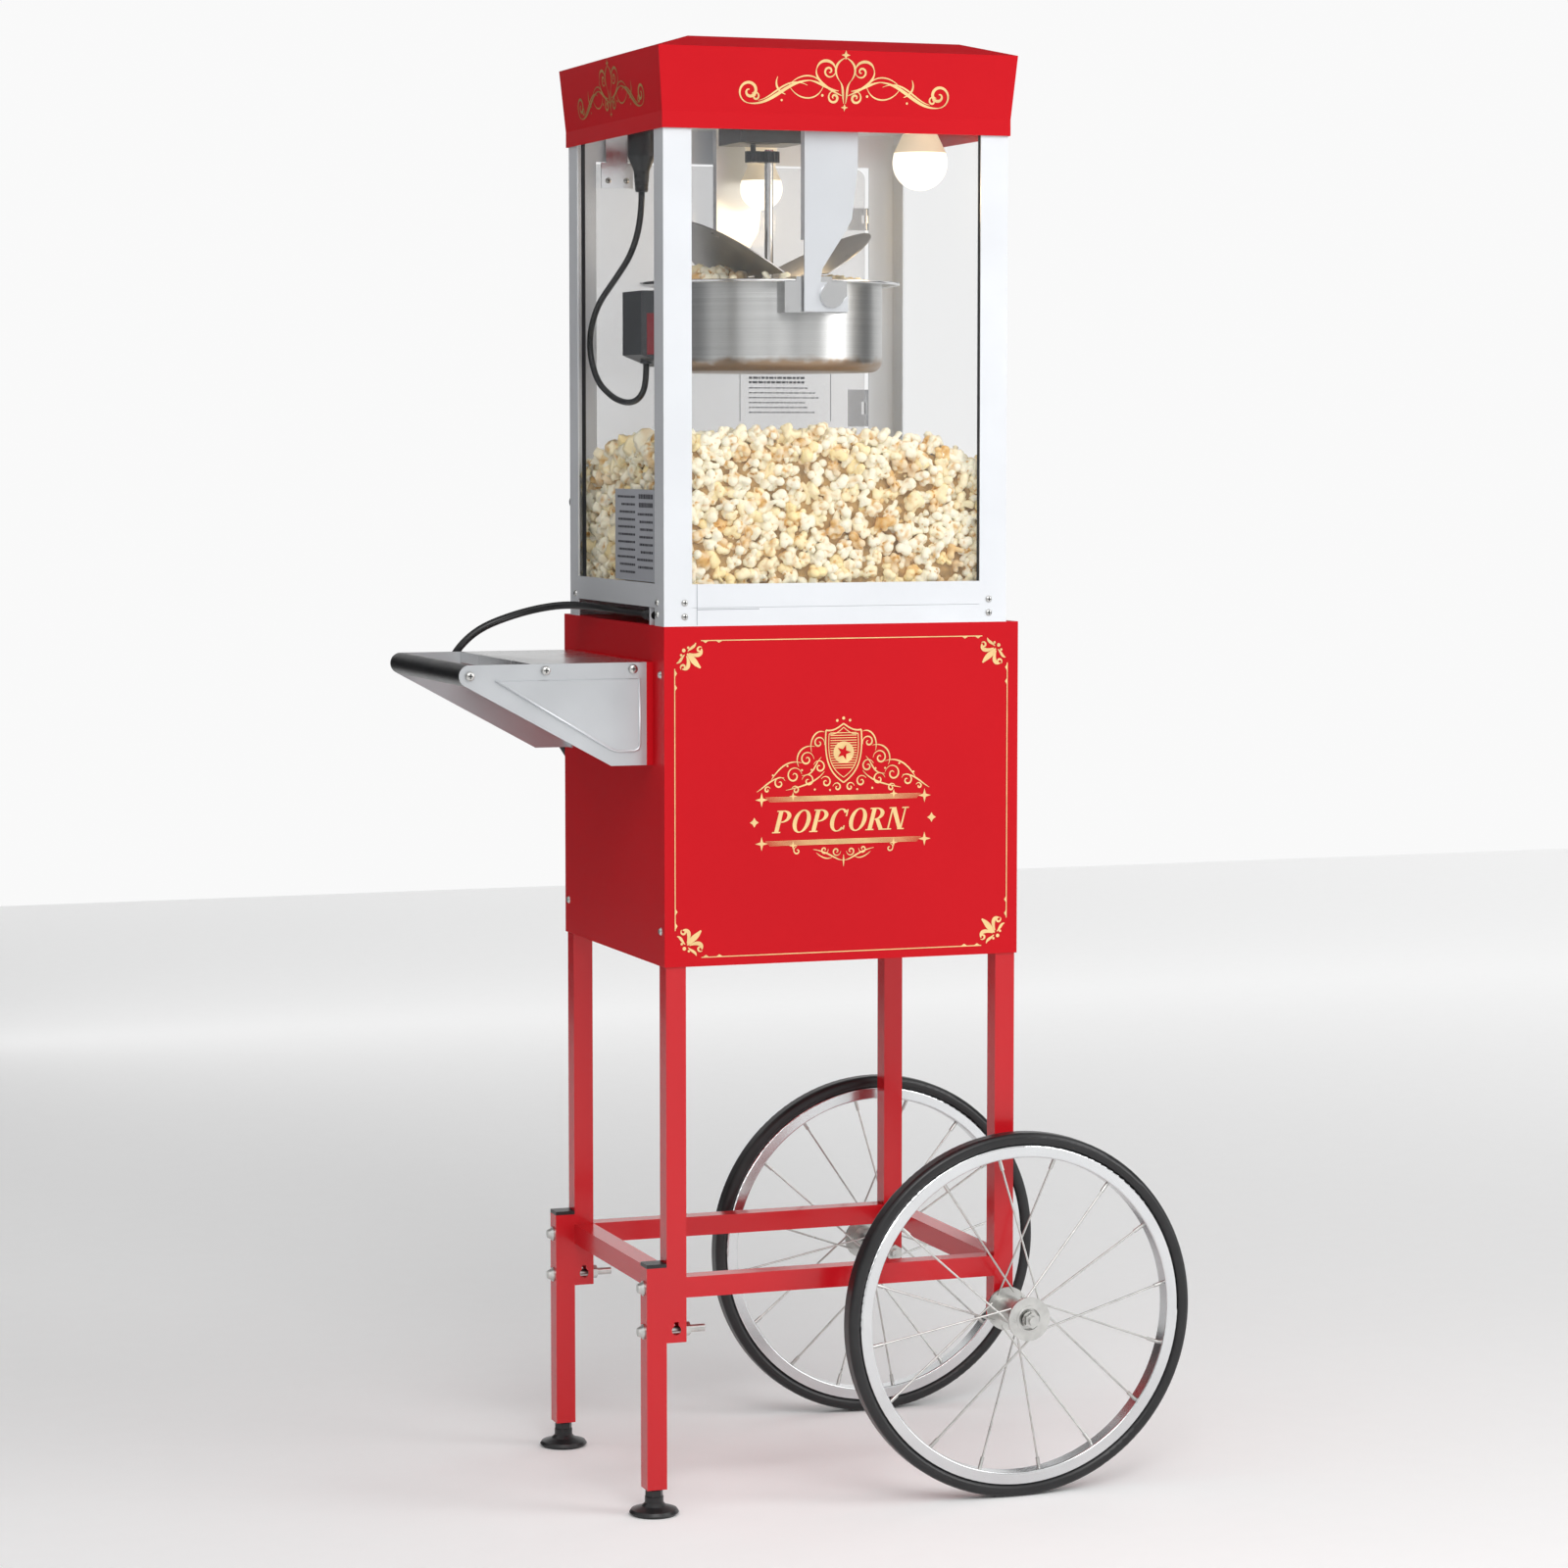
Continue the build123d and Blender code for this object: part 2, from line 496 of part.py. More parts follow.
def make_switch(name, x):
    """A rocker modelled in its off position, leaning 8 degrees about its middle."""
    with BuildPart() as rocker:
        with BuildSketch(switch_plane(x, -8.0)) as face:
            Rectangle(18.0, 12.0)
        extrude(face.sketch, amount=2.5)
        extrude(face.sketch, amount=-4.0)
        with BuildSketch(switch_plane(x, -8.0).offset(2.5)) as dish:
            Rectangle(13.0, 1.2)
        extrude(dish.sketch, amount=-0.8, mode=Mode.SUBTRACT)
        rod("x", (x - ROCKER_PIN[0], SWITCH_Y, SWITCH_Z), x + ROCKER_PIN[0], ROCKER_PIN[1])
    save(rocker, name)


with BuildPart() as switch_bezels:
    for x in SWITCH_X:
        wall = switch_plane(x)
        with BuildSketch(wall) as tube_wall:
            Rectangle(21.6, 16.0)
            Rectangle(19.2, 13.8, mode=Mode.SUBTRACT)
        extrude(tube_wall.sketch, amount=-12)
        with BuildSketch(wall) as flange:
            RectangleRounded(27.0, 21.0, 2.0)
            Rectangle(19.2, 13.8, mode=Mode.SUBTRACT)
        extrude(flange.sketch, amount=1.5)
        with BuildSketch(wall.offset(-12)) as back:
            Rectangle(21.6, 16.0)
        extrude(back.sketch, amount=-1.5)
save(switch_bezels, "switch_bezels")

make_switch("light_switch", SWITCH_X[0])
make_switch("heat_switch", SWITCH_X[1])
make_switch("stir_switch", SWITCH_X[2])


# ---- lamps ----
HOLDER_R = 20.0
# x, y and z of the globe's middle, globe radius, top of the collar
LAMPS = ((130.0, -99.0, 1434.0, 29.5, 1464.0), (17.6, 95.0, 1414.8, 23.5, 1440.0))
COLLAR_RISE = 12.5

with BuildPart() as bulbs:
    for x, y, z, globe_r, collar_top in LAMPS:
        neck_r = 0.62 * globe_r
        join_r = (globe_r ** 2 - COLLAR_RISE ** 2) ** 0.5
        with BuildSketch(Plane.XZ.offset(-y)) as profile:
            with BuildLine():
                ThreePointArc((x, z - globe_r), (x + globe_r, z), (x + join_r, z + COLLAR_RISE))
                Line((x + join_r, z + COLLAR_RISE), (x + neck_r, collar_top))
                Polyline((x + neck_r, collar_top), (x + 13, collar_top), (x + 13, collar_top + 10))
                Polyline((x + 13, collar_top + 10), (x, collar_top + 10), (x, z - globe_r))
            make_face()
        revolve(profile.sketch, axis=Axis((x, y, 0), (0, 0, 1)))
save(bulbs, "bulbs")

with BuildPart() as lamp_holders:
    for x, y, z, globe_r, collar_top in LAMPS:
        rod("z", (x, y, collar_top), CEILING_Z[0], 0.8 * HOLDER_R, top_radius=HOLDER_R)
        rod("z", (x, y, collar_top), collar_top + 11, 13.1, Mode.SUBTRACT)
save(lamp_holders, "lamp_holders")


# ---- stirring drive ----
GEAR_MODULE = 1.5
GEAR_TEETH = (14, 10)      # on the stirring shaft, on the motor
GEAR_Z = (1436.0, 1448.0)
DRIVE_X = KETTLE[0] - GEAR_MODULE * sum(GEAR_TEETH) / 2
GEARBOX_Z = 1455.0
SHAFT_R = 4.75


def gear_outline(x, teeth, phase):
    """A spur gear with straight-flanked teeth, one tooth standing at the phase angle."""
    pitch_r = GEAR_MODULE * teeth / 2
    flank = ((pitch_r - 2.2, 1.35), (pitch_r + 1.25, 0.6))
    with BuildSketch(Plane.XY.offset(GEAR_Z[0])) as outline:
        with Locations((x, KETTLE[1])):
            Circle(pitch_r - 1.7)
        for index in range(teeth):
            middle = radians(phase + 360 / teeth * index)
            corners = []
            for turn in (-1, 1):
                for radius, half_width in flank[::turn]:
                    angle = middle + turn * half_width / radius
                    corners.append((x + radius * cos(angle), KETTLE[1] + radius * sin(angle)))
            with BuildLine():
                Polyline(*corners, close=True)
            make_face()
    return outline.sketch


with BuildPart() as agitator_gear:
    extrude(gear_outline(KETTLE[0], GEAR_TEETH[0], 180), amount=GEAR_Z[1] - GEAR_Z[0])
    rod("z", (*KETTLE, GEAR_Z[0]), GEAR_Z[1], SHAFT_R, Mode.SUBTRACT)
save(agitator_gear, "agitator_gear")

with BuildPart() as agitator_shaft:
    rod("z", (*KETTLE, KETTLE_Z[0] + 3.4), GEAR_Z[1] + 2, SHAFT_R)
    rod("z", (*KETTLE, KETTLE_Z[0] + 3.4), KETTLE_Z[0] + 22, 9.0)
    for along_x in (True, False):
        long, short = (104.0, 5.0) if along_x else (5.0, 78.0)
        block(
            (KETTLE[0] - long, KETTLE[0] + long),
            (KETTLE[1] - short, KETTLE[1] + short),
            (KETTLE_Z[0] + 3.4, KETTLE_Z[0] + 6.4),
        )
save(agitator_shaft, "agitator_shaft")

with BuildPart() as drive_gear:
    extrude(gear_outline(DRIVE_X, GEAR_TEETH[1], 18), amount=GEAR_Z[1] - GEAR_Z[0])
    rod("z", (DRIVE_X, KETTLE[1], GEAR_Z[1]), GEARBOX_Z + 14, 3.0)
save(drive_gear, "drive_gear")

with BuildPart() as gear_motor:
    block((-58, 16), (-52, 20), (GEARBOX_Z, CEILING_Z[0]))
    block(*MOTOR_NECK, (CEILING_Z[0], CEILING_Z[1]))
    block((-56, 14), (-50, 18), (CEILING_Z[1], 1510))
    rod("z", (DRIVE_X + 10, KETTLE[1], 1510), 1532, 29)
    rod("z", (DRIVE_X, KETTLE[1], GEARBOX_Z), GEARBOX_Z + 15, 3.05, Mode.SUBTRACT)
save(gear_motor, "gear_motor")


# ---- kettle ----
STRAP = ((-33.0, 7.0), (KETTLE_Z[1], KETTLE_Z[1] + 3.0))
PLATE_OFF = (141.5, 143.0)     # hanger plates, in front of and behind the kettle's middle
CHEEK_X = (-46.0, 24.0)
HANGER_Z = (1271.0, 1304.0)
ARM_OFF = (146.5, 149.0)
TRUNNION_R = 13.0
LID_HINGE_X = (-35.5, 9.5)
LID_HINGE_Z = 1311.8
LID_R = 122.0
LID_PIN_R = 1.25
BARREL_Y = ((-70.0, -40.0), (8.0, 38.0))
EAR_Y = ((-73.0, -71.0), (39.0, 41.0))

with BuildPart() as kettle_pot:
    with BuildSketch(Plane.XZ.offset(-KETTLE[1])) as pot_profile:
        with BuildLine():
            axis_x = KETTLE[0]
            out_x = axis_x + KETTLE_R
            in_x = out_x - KETTLE_WALL
            Line((axis_x, KETTLE_Z[0]), (out_x - 13, KETTLE_Z[0]))
            ThreePointArc(
                (out_x - 13, KETTLE_Z[0]),
                (out_x - 13 + 13 * sin(pi / 4), KETTLE_Z[0] + 13 - 13 * cos(pi / 4)),
                (out_x, KETTLE_Z[0] + 13),
            )
            Line((out_x, KETTLE_Z[0] + 13), (out_x, KETTLE_Z[1] - 1.5))
            Polyline(
                (out_x, KETTLE_Z[1] - 1.5),
                (axis_x + KETTLE_RIM_R, KETTLE_Z[1] - 1.5),
                (axis_x + KETTLE_RIM_R, KETTLE_Z[1]),
                (in_x, KETTLE_Z[1]),
                (in_x, KETTLE_Z[0] + 12),
            )
            Polyline((in_x, KETTLE_Z[0] + 12), (in_x - 9, KETTLE_Z[0] + 3), (axis_x, KETTLE_Z[0] + 3))
            Line((axis_x, KETTLE_Z[0] + 3), (axis_x, KETTLE_Z[0]))
        make_face()
    revolve(pot_profile.sketch, axis=Axis((*KETTLE, 0), (0, 0, 1)))
save(kettle_pot, "kettle_pot")

with BuildPart() as kettle_bridge:
    block(STRAP[0], (KETTLE[1] - PLATE_OFF[1], KETTLE[1] + PLATE_OFF[1]), STRAP[1])
    for side in (-1, 1):
        plate_y = tuple(sorted((KETTLE[1] + side * PLATE_OFF[0], KETTLE[1] + side * PLATE_OFF[1])))
        cheek_y = tuple(sorted((KETTLE[1] + side * 112, KETTLE[1] + side * PLATE_OFF[0])))
        block(CHEEK_X, plate_y, HANGER_Z)
        block(STRAP[0], plate_y, (HANGER_Z[1], STRAP[1][1]))
        for x in (CHEEK_X[0], CHEEK_X[1] - 1.5):
            block((x, x + 1.5), cheek_y, HANGER_Z)
        trunnion = (PIVOT[0], KETTLE[1] + side * PLATE_OFF[1], PIVOT[1])
        rod("y", trunnion, KETTLE[1] + side * (ARM_OFF[1] + 3.5), TRUNNION_R)
    rod("z", (*KETTLE, KETTLE_Z[0]), KETTLE_Z[1] - 1, KETTLE_R, Mode.SUBTRACT)
    for x, inward in zip(LID_HINGE_X, (1, -1)):
        for ear in EAR_Y:
            block(tuple(sorted((x - 2.2 * inward, x + 5 * inward))), ear, (KETTLE_Z[1], LID_HINGE_Z + 2.2))
        rod("y", (x, EAR_Y[0][0], LID_HINGE_Z), EAR_Y[1][1], LID_PIN_R)
    rod("z", (*KETTLE, KETTLE_Z[1] - 1), KETTLE_Z[1] + 4, SHAFT_R + 0.1, Mode.SUBTRACT)
save(kettle_bridge, "kettle_bridge")


def make_lid(name, hinge_x, outward, angle):
    """Half of the round kettle lid, standing open on its hinge barrels."""
    lean = radians(angle)
    plane = Plane(
        origin=(hinge_x, 0, LID_HINGE_Z),
        x_dir=(outward * cos(lean), 0, sin(lean)),
        z_dir=(-outward * sin(lean), 0, cos(lean)),
    )
    flip = 1 if outward > 0 else -1
    middle = abs(hinge_x - KETTLE[0])
    with BuildPart() as lid:
        with BuildSketch(plane) as blade:
            with Locations((-middle, flip * KETTLE[1])):
                Circle(LID_R)
            with Locations((3.2 - LID_R * 2, 0)):
                Rectangle(LID_R * 4, LID_R * 4, mode=Mode.SUBTRACT)
            for barrel in BARREL_Y:
                with Locations((1.7, flip * sum(barrel) / 2)):
                    Rectangle(3.4, barrel[1] - barrel[0])
        extrude(blade.sketch, amount=0.6, both=True)
        for barrel in BARREL_Y:
            rod("y", (hinge_x, barrel[0], LID_HINGE_Z), barrel[1], 2.4)
            rod("y", (hinge_x, barrel[0], LID_HINGE_Z), barrel[1], LID_PIN_R + 0.05, Mode.SUBTRACT)
    save(lid, name)


make_lid("lid_left", LID_HINGE_X[0], -1, LID_ANGLES[0])
make_lid("lid_right", LID_HINGE_X[1], 1, LID_ANGLES[1])

ARM_Z = (1272.0, CEILING_Z[0])
ARM_FLANGE_Z = 1347.0
ARM_POINTS = (
    (-26.0, ARM_Z[1]), (33.5, ARM_Z[1]), (33.5, 1423.0), (27.0, 1369.0), (18.5, 1354.0),
    (-6.0, 1317.0), (-8.0, 1303.0), (23.0, 1303.0), (23.0, ARM_Z[0]), (-26.0, ARM_Z[0]),
)
with BuildPart() as kettle_arms:
    for side in (-1, 1):
        face = Plane(origin=(0, KETTLE[1] + side * ARM_OFF[0], 0), x_dir=(1, 0, 0), z_dir=(0, -1, 0))
        with BuildSketch(face) as arm:
            with BuildLine():
                Polyline(*ARM_POINTS, close=True)
            make_face()
            with Locations(PIVOT):
                Circle(TRUNNION_R + 0.06, mode=Mode.SUBTRACT)
            with Locations(Location((PIVOT[0] + 17.7, PIVOT[1] + 17.7, 0), (0, 0, 45))):
                Rectangle(50, 2 * TRUNNION_R + 0.12, mode=Mode.SUBTRACT)
        extrude(arm.sketch, amount=-side * (ARM_OFF[1] - ARM_OFF[0]))
        flange_y = tuple(sorted((KETTLE[1] + side * (ARM_OFF[1] - 12), KETTLE[1] + side * ARM_OFF[1])))
        block((-26.0, -24.5), flange_y, (ARM_FLANGE_Z, ARM_Z[1]))
save(kettle_arms, "kettle_arms")

BOX_HALF = 33.0
BOX_INLET_Z = 1219.0       # lower end of the boss where the kettle's lead enters its terminal box
with BuildPart() as terminal_box:
    with BuildSketch(Plane.XZ.offset(-(KETTLE[1] + BOX_HALF))) as box_side:
        with BuildLine():
            Polyline((-169, 1228), (-169, 1296), (-128, 1296), (-128, 1216), (-139, 1216), close=True)
        make_face()
    extrude(box_side.sketch, amount=2 * BOX_HALF)
    rod("z", (-153, KETTLE[1], BOX_INLET_Z), 1240, 6.5)
    rod("z", (*KETTLE, 1200), 1300, KETTLE_R, Mode.SUBTRACT)
save(terminal_box, "terminal_box")

POP_R = 116.0
with BuildPart() as kettle_popcorn:
    rod("z", (*KETTLE, 1270), KETTLE_Z[1] - 1.5, POP_R)
    for x, radius, top in ((-76.0, 75.0, 1323.0), (52.0, 75.0, 1317.0)):
        with Locations((x, KETTLE[1], top - radius)):
            Sphere(radius)
    rod("z", (*KETTLE, 1270), 1340, POP_R, Mode.INTERSECT)
    block((-41, 15), (-220, 190), (KETTLE_Z[1] - 1.5, 1340), Mode.SUBTRACT)
    rod("z", (*KETTLE, 1260), 1310, 8.0, Mode.SUBTRACT)
save(kettle_popcorn, "kettle_popcorn")


# ---- popcorn on the serving deck ----
HEAP_Y = (-173.5, 151.5)
HEAP_PROFILE = (
    (-181.0, DECK_TOP), (193.0, DECK_TOP), (193.0, 1112.0), (120.0, 1134.0), (0.0, 1147.0),
    (-120.0, 1144.0), (-181.0, 1138.0),
)
with BuildPart() as popcorn_heap:
    with BuildSketch(Plane.XZ.offset(-HEAP_Y[1])) as heap_front:
        with BuildLine():
            Polyline(*HEAP_PROFILE, close=True)
        make_face()
    extrude(heap_front.sketch, amount=HEAP_Y[1] - HEAP_Y[0])
    with BuildSketch(Plane.YZ.offset(-200)) as back_slope:
        with BuildLine():
            Polyline((-60, 1150), (HEAP_Y[1] + 1, 1106), (HEAP_Y[1] + 1, 1160), (-60, 1160), close=True)
        make_face()
    extrude(back_slope.sketch, amount=420, mode=Mode.SUBTRACT)
save(popcorn_heap, "popcorn_heap")


# ---- rear door of the popper ----
DOOR_X = (-184.0, 163.8)
DOOR_Y = (155.5, 158.5)
DOOR_Z = (990.0, 1442.0)
DOOR_AXIS = (167.3, 159.5)
HINGES = ((1152.0, 1194.0), (1374.0, 1399.0))
DOOR_PIN_R = 1.3
KNOB = (-174.0, 1068.0)

with BuildPart() as popper_door:
    block(DOOR_X, DOOR_Y, DOOR_Z)
    top_corners = popper_door.edges().filter_by(Axis.Y).group_by(Axis.Z)[-1]
    fillet(top_corners, 12)
    rod("y", (KNOB[0], DOOR_Y[0], KNOB[1]), DOOR_Y[1], 2.1, Mode.SUBTRACT)
save(popper_door, "popper_door")

with BuildPart() as popper_door_fittings:
    rod("y", (KNOB[0], DOOR_Y[1], KNOB[1]), DOOR_Y[1] + 5, 6.0)
    rod("y", (KNOB[0], DOOR_Y[1] + 5, KNOB[1]), DOOR_Y[1] + 13.5, 9.0)
    rod("y", (KNOB[0], DOOR_Y[1], KNOB[1]), DOOR_Y[0], 2.0)
    for low, high in HINGES:
        third = (high - low) / 3
        for z0, z1 in ((low, low + third - 0.3), (high - third + 0.3, high)):
            block((145, DOOR_AXIS[0]), (DOOR_Y[1], DOOR_Y[1] + 1.2), (z0, z1))
            rod("z", (*DOOR_AXIS, z0), z1, 2.7)
            rod("z", (*DOOR_AXIS, z0), z1, DOOR_PIN_R + 0.05, Mode.SUBTRACT)
        block((145, 161), (DOOR_Y[1], DOOR_Y[1] + 1.2), (low, high))
    block((DOOR_AXIS[0] - 4, DOOR_AXIS[0] + 4), (DOOR_Y[1] - 3, DOOR_Y[1]), DOOR_Z, Mode.SUBTRACT)
save(popper_door_fittings, "popper_door_fittings")

with BuildPart() as door_hinges:
    for low, high in HINGES:
        third = (high - low) / 3
        rod("z", (*DOOR_AXIS, low), high, DOOR_PIN_R)
        rod("z", (*DOOR_AXIS, low + third), high - third, 2.7)
        block((DOOR_AXIS[0], DOOR_AXIS[0] + 3), (MACH_Y[1], DOOR_AXIS[1]), (low + third, high - third))
        block((169.5, 188), (MACH_Y[1], MACH_Y[1] + 1.2), (low, high))
save(door_hinges, "door_hinges")

with BuildPart() as door_catch:
    block((-146, -121), (148, 149.5), (1415, CEILING_Z[0]))
    block((-152, -115), (146.5, 148), (1415, 1443))
    rod("y", (-133.5, 149.5, 1430), 152.5, 6.0)
save(door_catch, "door_catch")


# ---- kettle plug, socket and lead ----
PLUG_AT = (-157.0, -14.0)
PLUG_Z = (1402.0, 1424.0, 1440.0, 1465.0)
with BuildPart() as kettle_socket:
    block((-174, -140), (-31, 3), (PLUG_Z[3], CEILING_Z[0]))
save(kettle_socket, "kettle_socket")

with BuildPart() as kettle_plug:
    rod("z", (*PLUG_AT, PLUG_Z[0]), PLUG_Z[1], 6.5, top_radius=8.5)
    rod("z", (*PLUG_AT, PLUG_Z[1]), PLUG_Z[2], 8.5, top_radius=15.0)
    rod("z", (*PLUG_AT, PLUG_Z[2]), PLUG_Z[3], 15.0)
save(kettle_plug, "kettle_plug")


def cord_radii(points):
    """The arc at each corner: 0.45 of the shorter run over the tangent of half the turn."""
    radii = []
    for before, here, after in zip(points, points[1:], points[2:]):
        run_in = Vector(*here) - Vector(*before)
        run_out = Vector(*after) - Vector(*here)
        turn = radians(run_in.get_angle(run_out))
        radii.append(0.45 * min(run_in.length, run_out.length) / tan(turn / 2))
    return radii


def make_cord(name, points, radius):
    """A plain round tube along straight runs joined by tangent arcs."""
    radii = cord_radii(points)
    with BuildPart() as cord:
        with BuildLine() as path:
            FilletPolyline(*points, radius=radii)
        route = path.wires()[0]
        with BuildSketch(Plane(origin=route @ 0, z_dir=route % 0)) as section:
            Circle(radius)
        sweep(section.sketch, path=route)
    save(cord, name)
    length = route.length
    ratio = cord.part.volume / (pi * radius ** 2 * length)
    print(f"{name}: length {length:.1f} mm, volume over section times length {ratio:.4f}")
    print(f"{name} radii:", ", ".join(f"{value:.0f}" for value in radii))
    return length


KETTLE_CORD_POINTS = (
    (-157.0, -14.0, PLUG_Z[0]),
    (-157.0, -14.0, 1377.0),
    (-161.5, 4.0, 1338.0),
    (-169.0, 47.0, 1309.0),
    (-175.0, 93.0, 1283.0),
    (-177.0, 118.0, 1244.0),
    (-173.0, 103.0, 1203.0),
    (-167.0, 65.0, 1184.0),
    (-161.0, 34.0, 1177.0),
    (-157.0, 8.0, 1178.5),
    (-154.0, -10.0, 1188.0),
    (-153.0, -16.0, 1205.0),
    (-153.0, -16.0, BOX_INLET_Z - 0.1),
)
make_cord("kettle_cord", KETTLE_CORD_POINTS, KETTLE_CORD_R)


# ---- mains lead ----
CORD_LENGTH = 1800.0
COIL_AT = (-28.0, 114.0)
COIL_R = 47.5
COIL_BAND = 18.0
COIL_TOP = FLOOR_Z + 17.0
with BuildPart() as strain_relief:
    rod("y", (-181, -129.5, 953), -125.5, 7.5)
    rod("y", (-181, -125.5, 953), -100, 6.8, top_radius=5.0)
save(strain_relief, "strain_relief")

MAINS_POINTS = (
    (-181.0, -100.0, 953.0),
    (-182.5, -52.0, 953.3),
    (-184.5, 3.0, 953.6),
    (-190.0, 55.0, 955.0),
    (-206.0, 100.0, 956.5),
    (-230.0, 134.0, 951.5),
    (-262.0, 150.5, 941.5),
    (-294.0, 153.5, 928.5),
    (-317.0, 156.0, 908.0),
    (-327.0, 168.0, 882.0),
    (-323.0, 184.0, 858.0),
    (-307.0, 199.0, 842.0),
    (-277.0, 209.0, 833.0),
    (-241.0, 204.0, 828.0),
    (-214.0, 200.0, 815.0),
    (-191.0, 197.0, 790.0),
    (-169.0, 194.5, 756.0),
    (-151.0, 191.0, 718.0),
    (-134.0, 182.0, 680.0),
    (-118.0, 166.0, 645.0),
    (-106.0, 149.0, 618.0),
    (-97.0, 129.0, 601.0),
    (-88.0, 107.0, FLOOR_Z + CORD_R),
    (-72.5, 85.5, FLOOR_Z + CORD_R),
)
laid_length = make_cord("mains_cord", MAINS_POINTS, CORD_R)
coiled_length = CORD_LENGTH - laid_length
print(f"coil: {coiled_length:.0f} mm, {coiled_length / (2 * pi * COIL_R):.2f} turns")

with BuildPart() as cord_coil:
    with BuildSketch(Plane.XZ.offset(-COIL_AT[1])) as coil_section:
        with Locations((COIL_AT[0] + COIL_R, (FLOOR_Z + COIL_TOP) / 2)):
            RectangleRounded(COIL_BAND, COIL_TOP - FLOOR_Z, 4.0)
    revolve(coil_section.sketch, axis=Axis((*COIL_AT, 0), (0, 0, 1)))
save(cord_coil, "cord_coil")

MAINS_PLUG_X = (COIL_AT[0] + 28, COIL_AT[0] + 58, COIL_AT[0] + 94, COIL_AT[0] + 113)
MAINS_PLUG_Y = COIL_AT[1] - COIL_R - CORD_R
MAINS_PLUG_Z = COIL_TOP - CORD_R
with BuildPart() as mains_plug:
    rod("x", (MAINS_PLUG_X[0], MAINS_PLUG_Y, MAINS_PLUG_Z), MAINS_PLUG_X[1], 5.0, top_radius=7.0)
    block(MAINS_PLUG_X[1:3], (MAINS_PLUG_Y - 17, MAINS_PLUG_Y + 17), (FLOOR_Z, FLOOR_Z + 25.6))
    for y in (MAINS_PLUG_Y - 9.5, MAINS_PLUG_Y + 9.5):
        rod("x", (MAINS_PLUG_X[2], y, MAINS_PLUG_Z), MAINS_PLUG_X[3], 2.4)
save(mains_plug, "mains_plug")
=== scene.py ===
import bpy
import bmesh
import numpy as np
from math import cos, pi, radians, sin
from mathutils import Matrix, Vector
from mathutils.bvhtree import BVHTree


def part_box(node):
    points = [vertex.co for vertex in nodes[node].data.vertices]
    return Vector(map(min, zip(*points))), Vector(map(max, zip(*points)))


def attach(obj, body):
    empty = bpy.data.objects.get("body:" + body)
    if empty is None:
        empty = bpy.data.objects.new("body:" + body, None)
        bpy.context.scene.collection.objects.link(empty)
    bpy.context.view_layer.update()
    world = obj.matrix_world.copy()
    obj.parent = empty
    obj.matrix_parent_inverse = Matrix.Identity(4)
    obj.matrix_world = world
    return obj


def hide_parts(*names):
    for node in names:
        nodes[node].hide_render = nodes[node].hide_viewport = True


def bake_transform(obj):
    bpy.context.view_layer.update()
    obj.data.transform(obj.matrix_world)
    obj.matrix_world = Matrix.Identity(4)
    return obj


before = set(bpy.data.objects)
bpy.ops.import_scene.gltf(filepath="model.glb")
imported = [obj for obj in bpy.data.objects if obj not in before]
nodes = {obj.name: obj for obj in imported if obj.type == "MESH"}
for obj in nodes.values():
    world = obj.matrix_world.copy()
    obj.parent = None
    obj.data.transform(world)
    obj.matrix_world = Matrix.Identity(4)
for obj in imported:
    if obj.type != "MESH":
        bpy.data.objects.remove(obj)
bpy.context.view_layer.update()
scene = bpy.context.scene
scene.view_settings.view_transform = "Standard"
MM = 0.001


# ---- helpers ----
def linked(name, data):
    """A new object in the scene."""
    thing = bpy.data.objects.new(name, data)
    scene.collection.objects.link(thing)
    return thing


def mesh_object(name, verts, faces, made, smooth=False):
    """A new mesh object with one material."""
    mesh = bpy.data.meshes.new(name)
    mesh.from_pydata([tuple(v) for v in verts], [], [tuple(f) for f in faces])
    mesh.validate()
    for polygon in mesh.polygons:
        polygon.use_smooth = smooth
    mesh.materials.append(made)
    return linked(name, mesh)


def mesh_piece(name, verts, faces, made, body="root", smooth=True):
    """A new mesh object that rides on a body."""
    piece = mesh_object(name, verts, faces, made, smooth)
    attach(piece, body)
    return piece


def add_bevel(piece, width, segments=2):
    """Rounds a piece's hard edges."""
    bevel = piece.modifiers.new("edge", "BEVEL")
    bevel.width = width
    bevel.segments = segments
    bevel.limit_method = "ANGLE"
    bevel.angle_limit = radians(35)


def lathe(profile, centre, axis="z", steps=64):
    """Vertices and faces of a profile of (radius, height) turned about an axis through centre."""
    verts, faces = [], []
    for k in range(steps):
        a = 2 * pi * k / steps
        for r, h in profile:
            u, v = r * cos(a), r * sin(a)
            offset = {"z": (u, v, h), "y": (u, h, v), "x": (h, u, v)}[axis]
            verts.append([c + o for c, o in zip(centre, offset)])
    n = len(profile)
    for k in range(steps):
        for i in range(n - 1):
            a, b = k * n + i, ((k + 1) % steps) * n + i
            faces.append((a, b, b + 1, a + 1))
    return verts, faces


def box_mesh(low, high):
    """Vertices and faces of a block between two corners."""
    verts = [(x, y, z) for x in (low[0], high[0]) for y in (low[1], high[1]) for z in (low[2], high[2])]
    faces = [(0, 1, 3, 2), (4, 6, 7, 5), (0, 4, 5, 1), (2, 3, 7, 6), (0, 2, 6, 4), (1, 5, 7, 3)]
    return verts, faces


def joined(parts):
    """Several (vertices, faces) lists as one."""
    verts, faces = [], []
    for part_verts, part_faces in parts:
        start = len(verts)
        verts += list(part_verts)
        faces += [tuple(i + start for i in face) for face in part_faces]
    return verts, faces


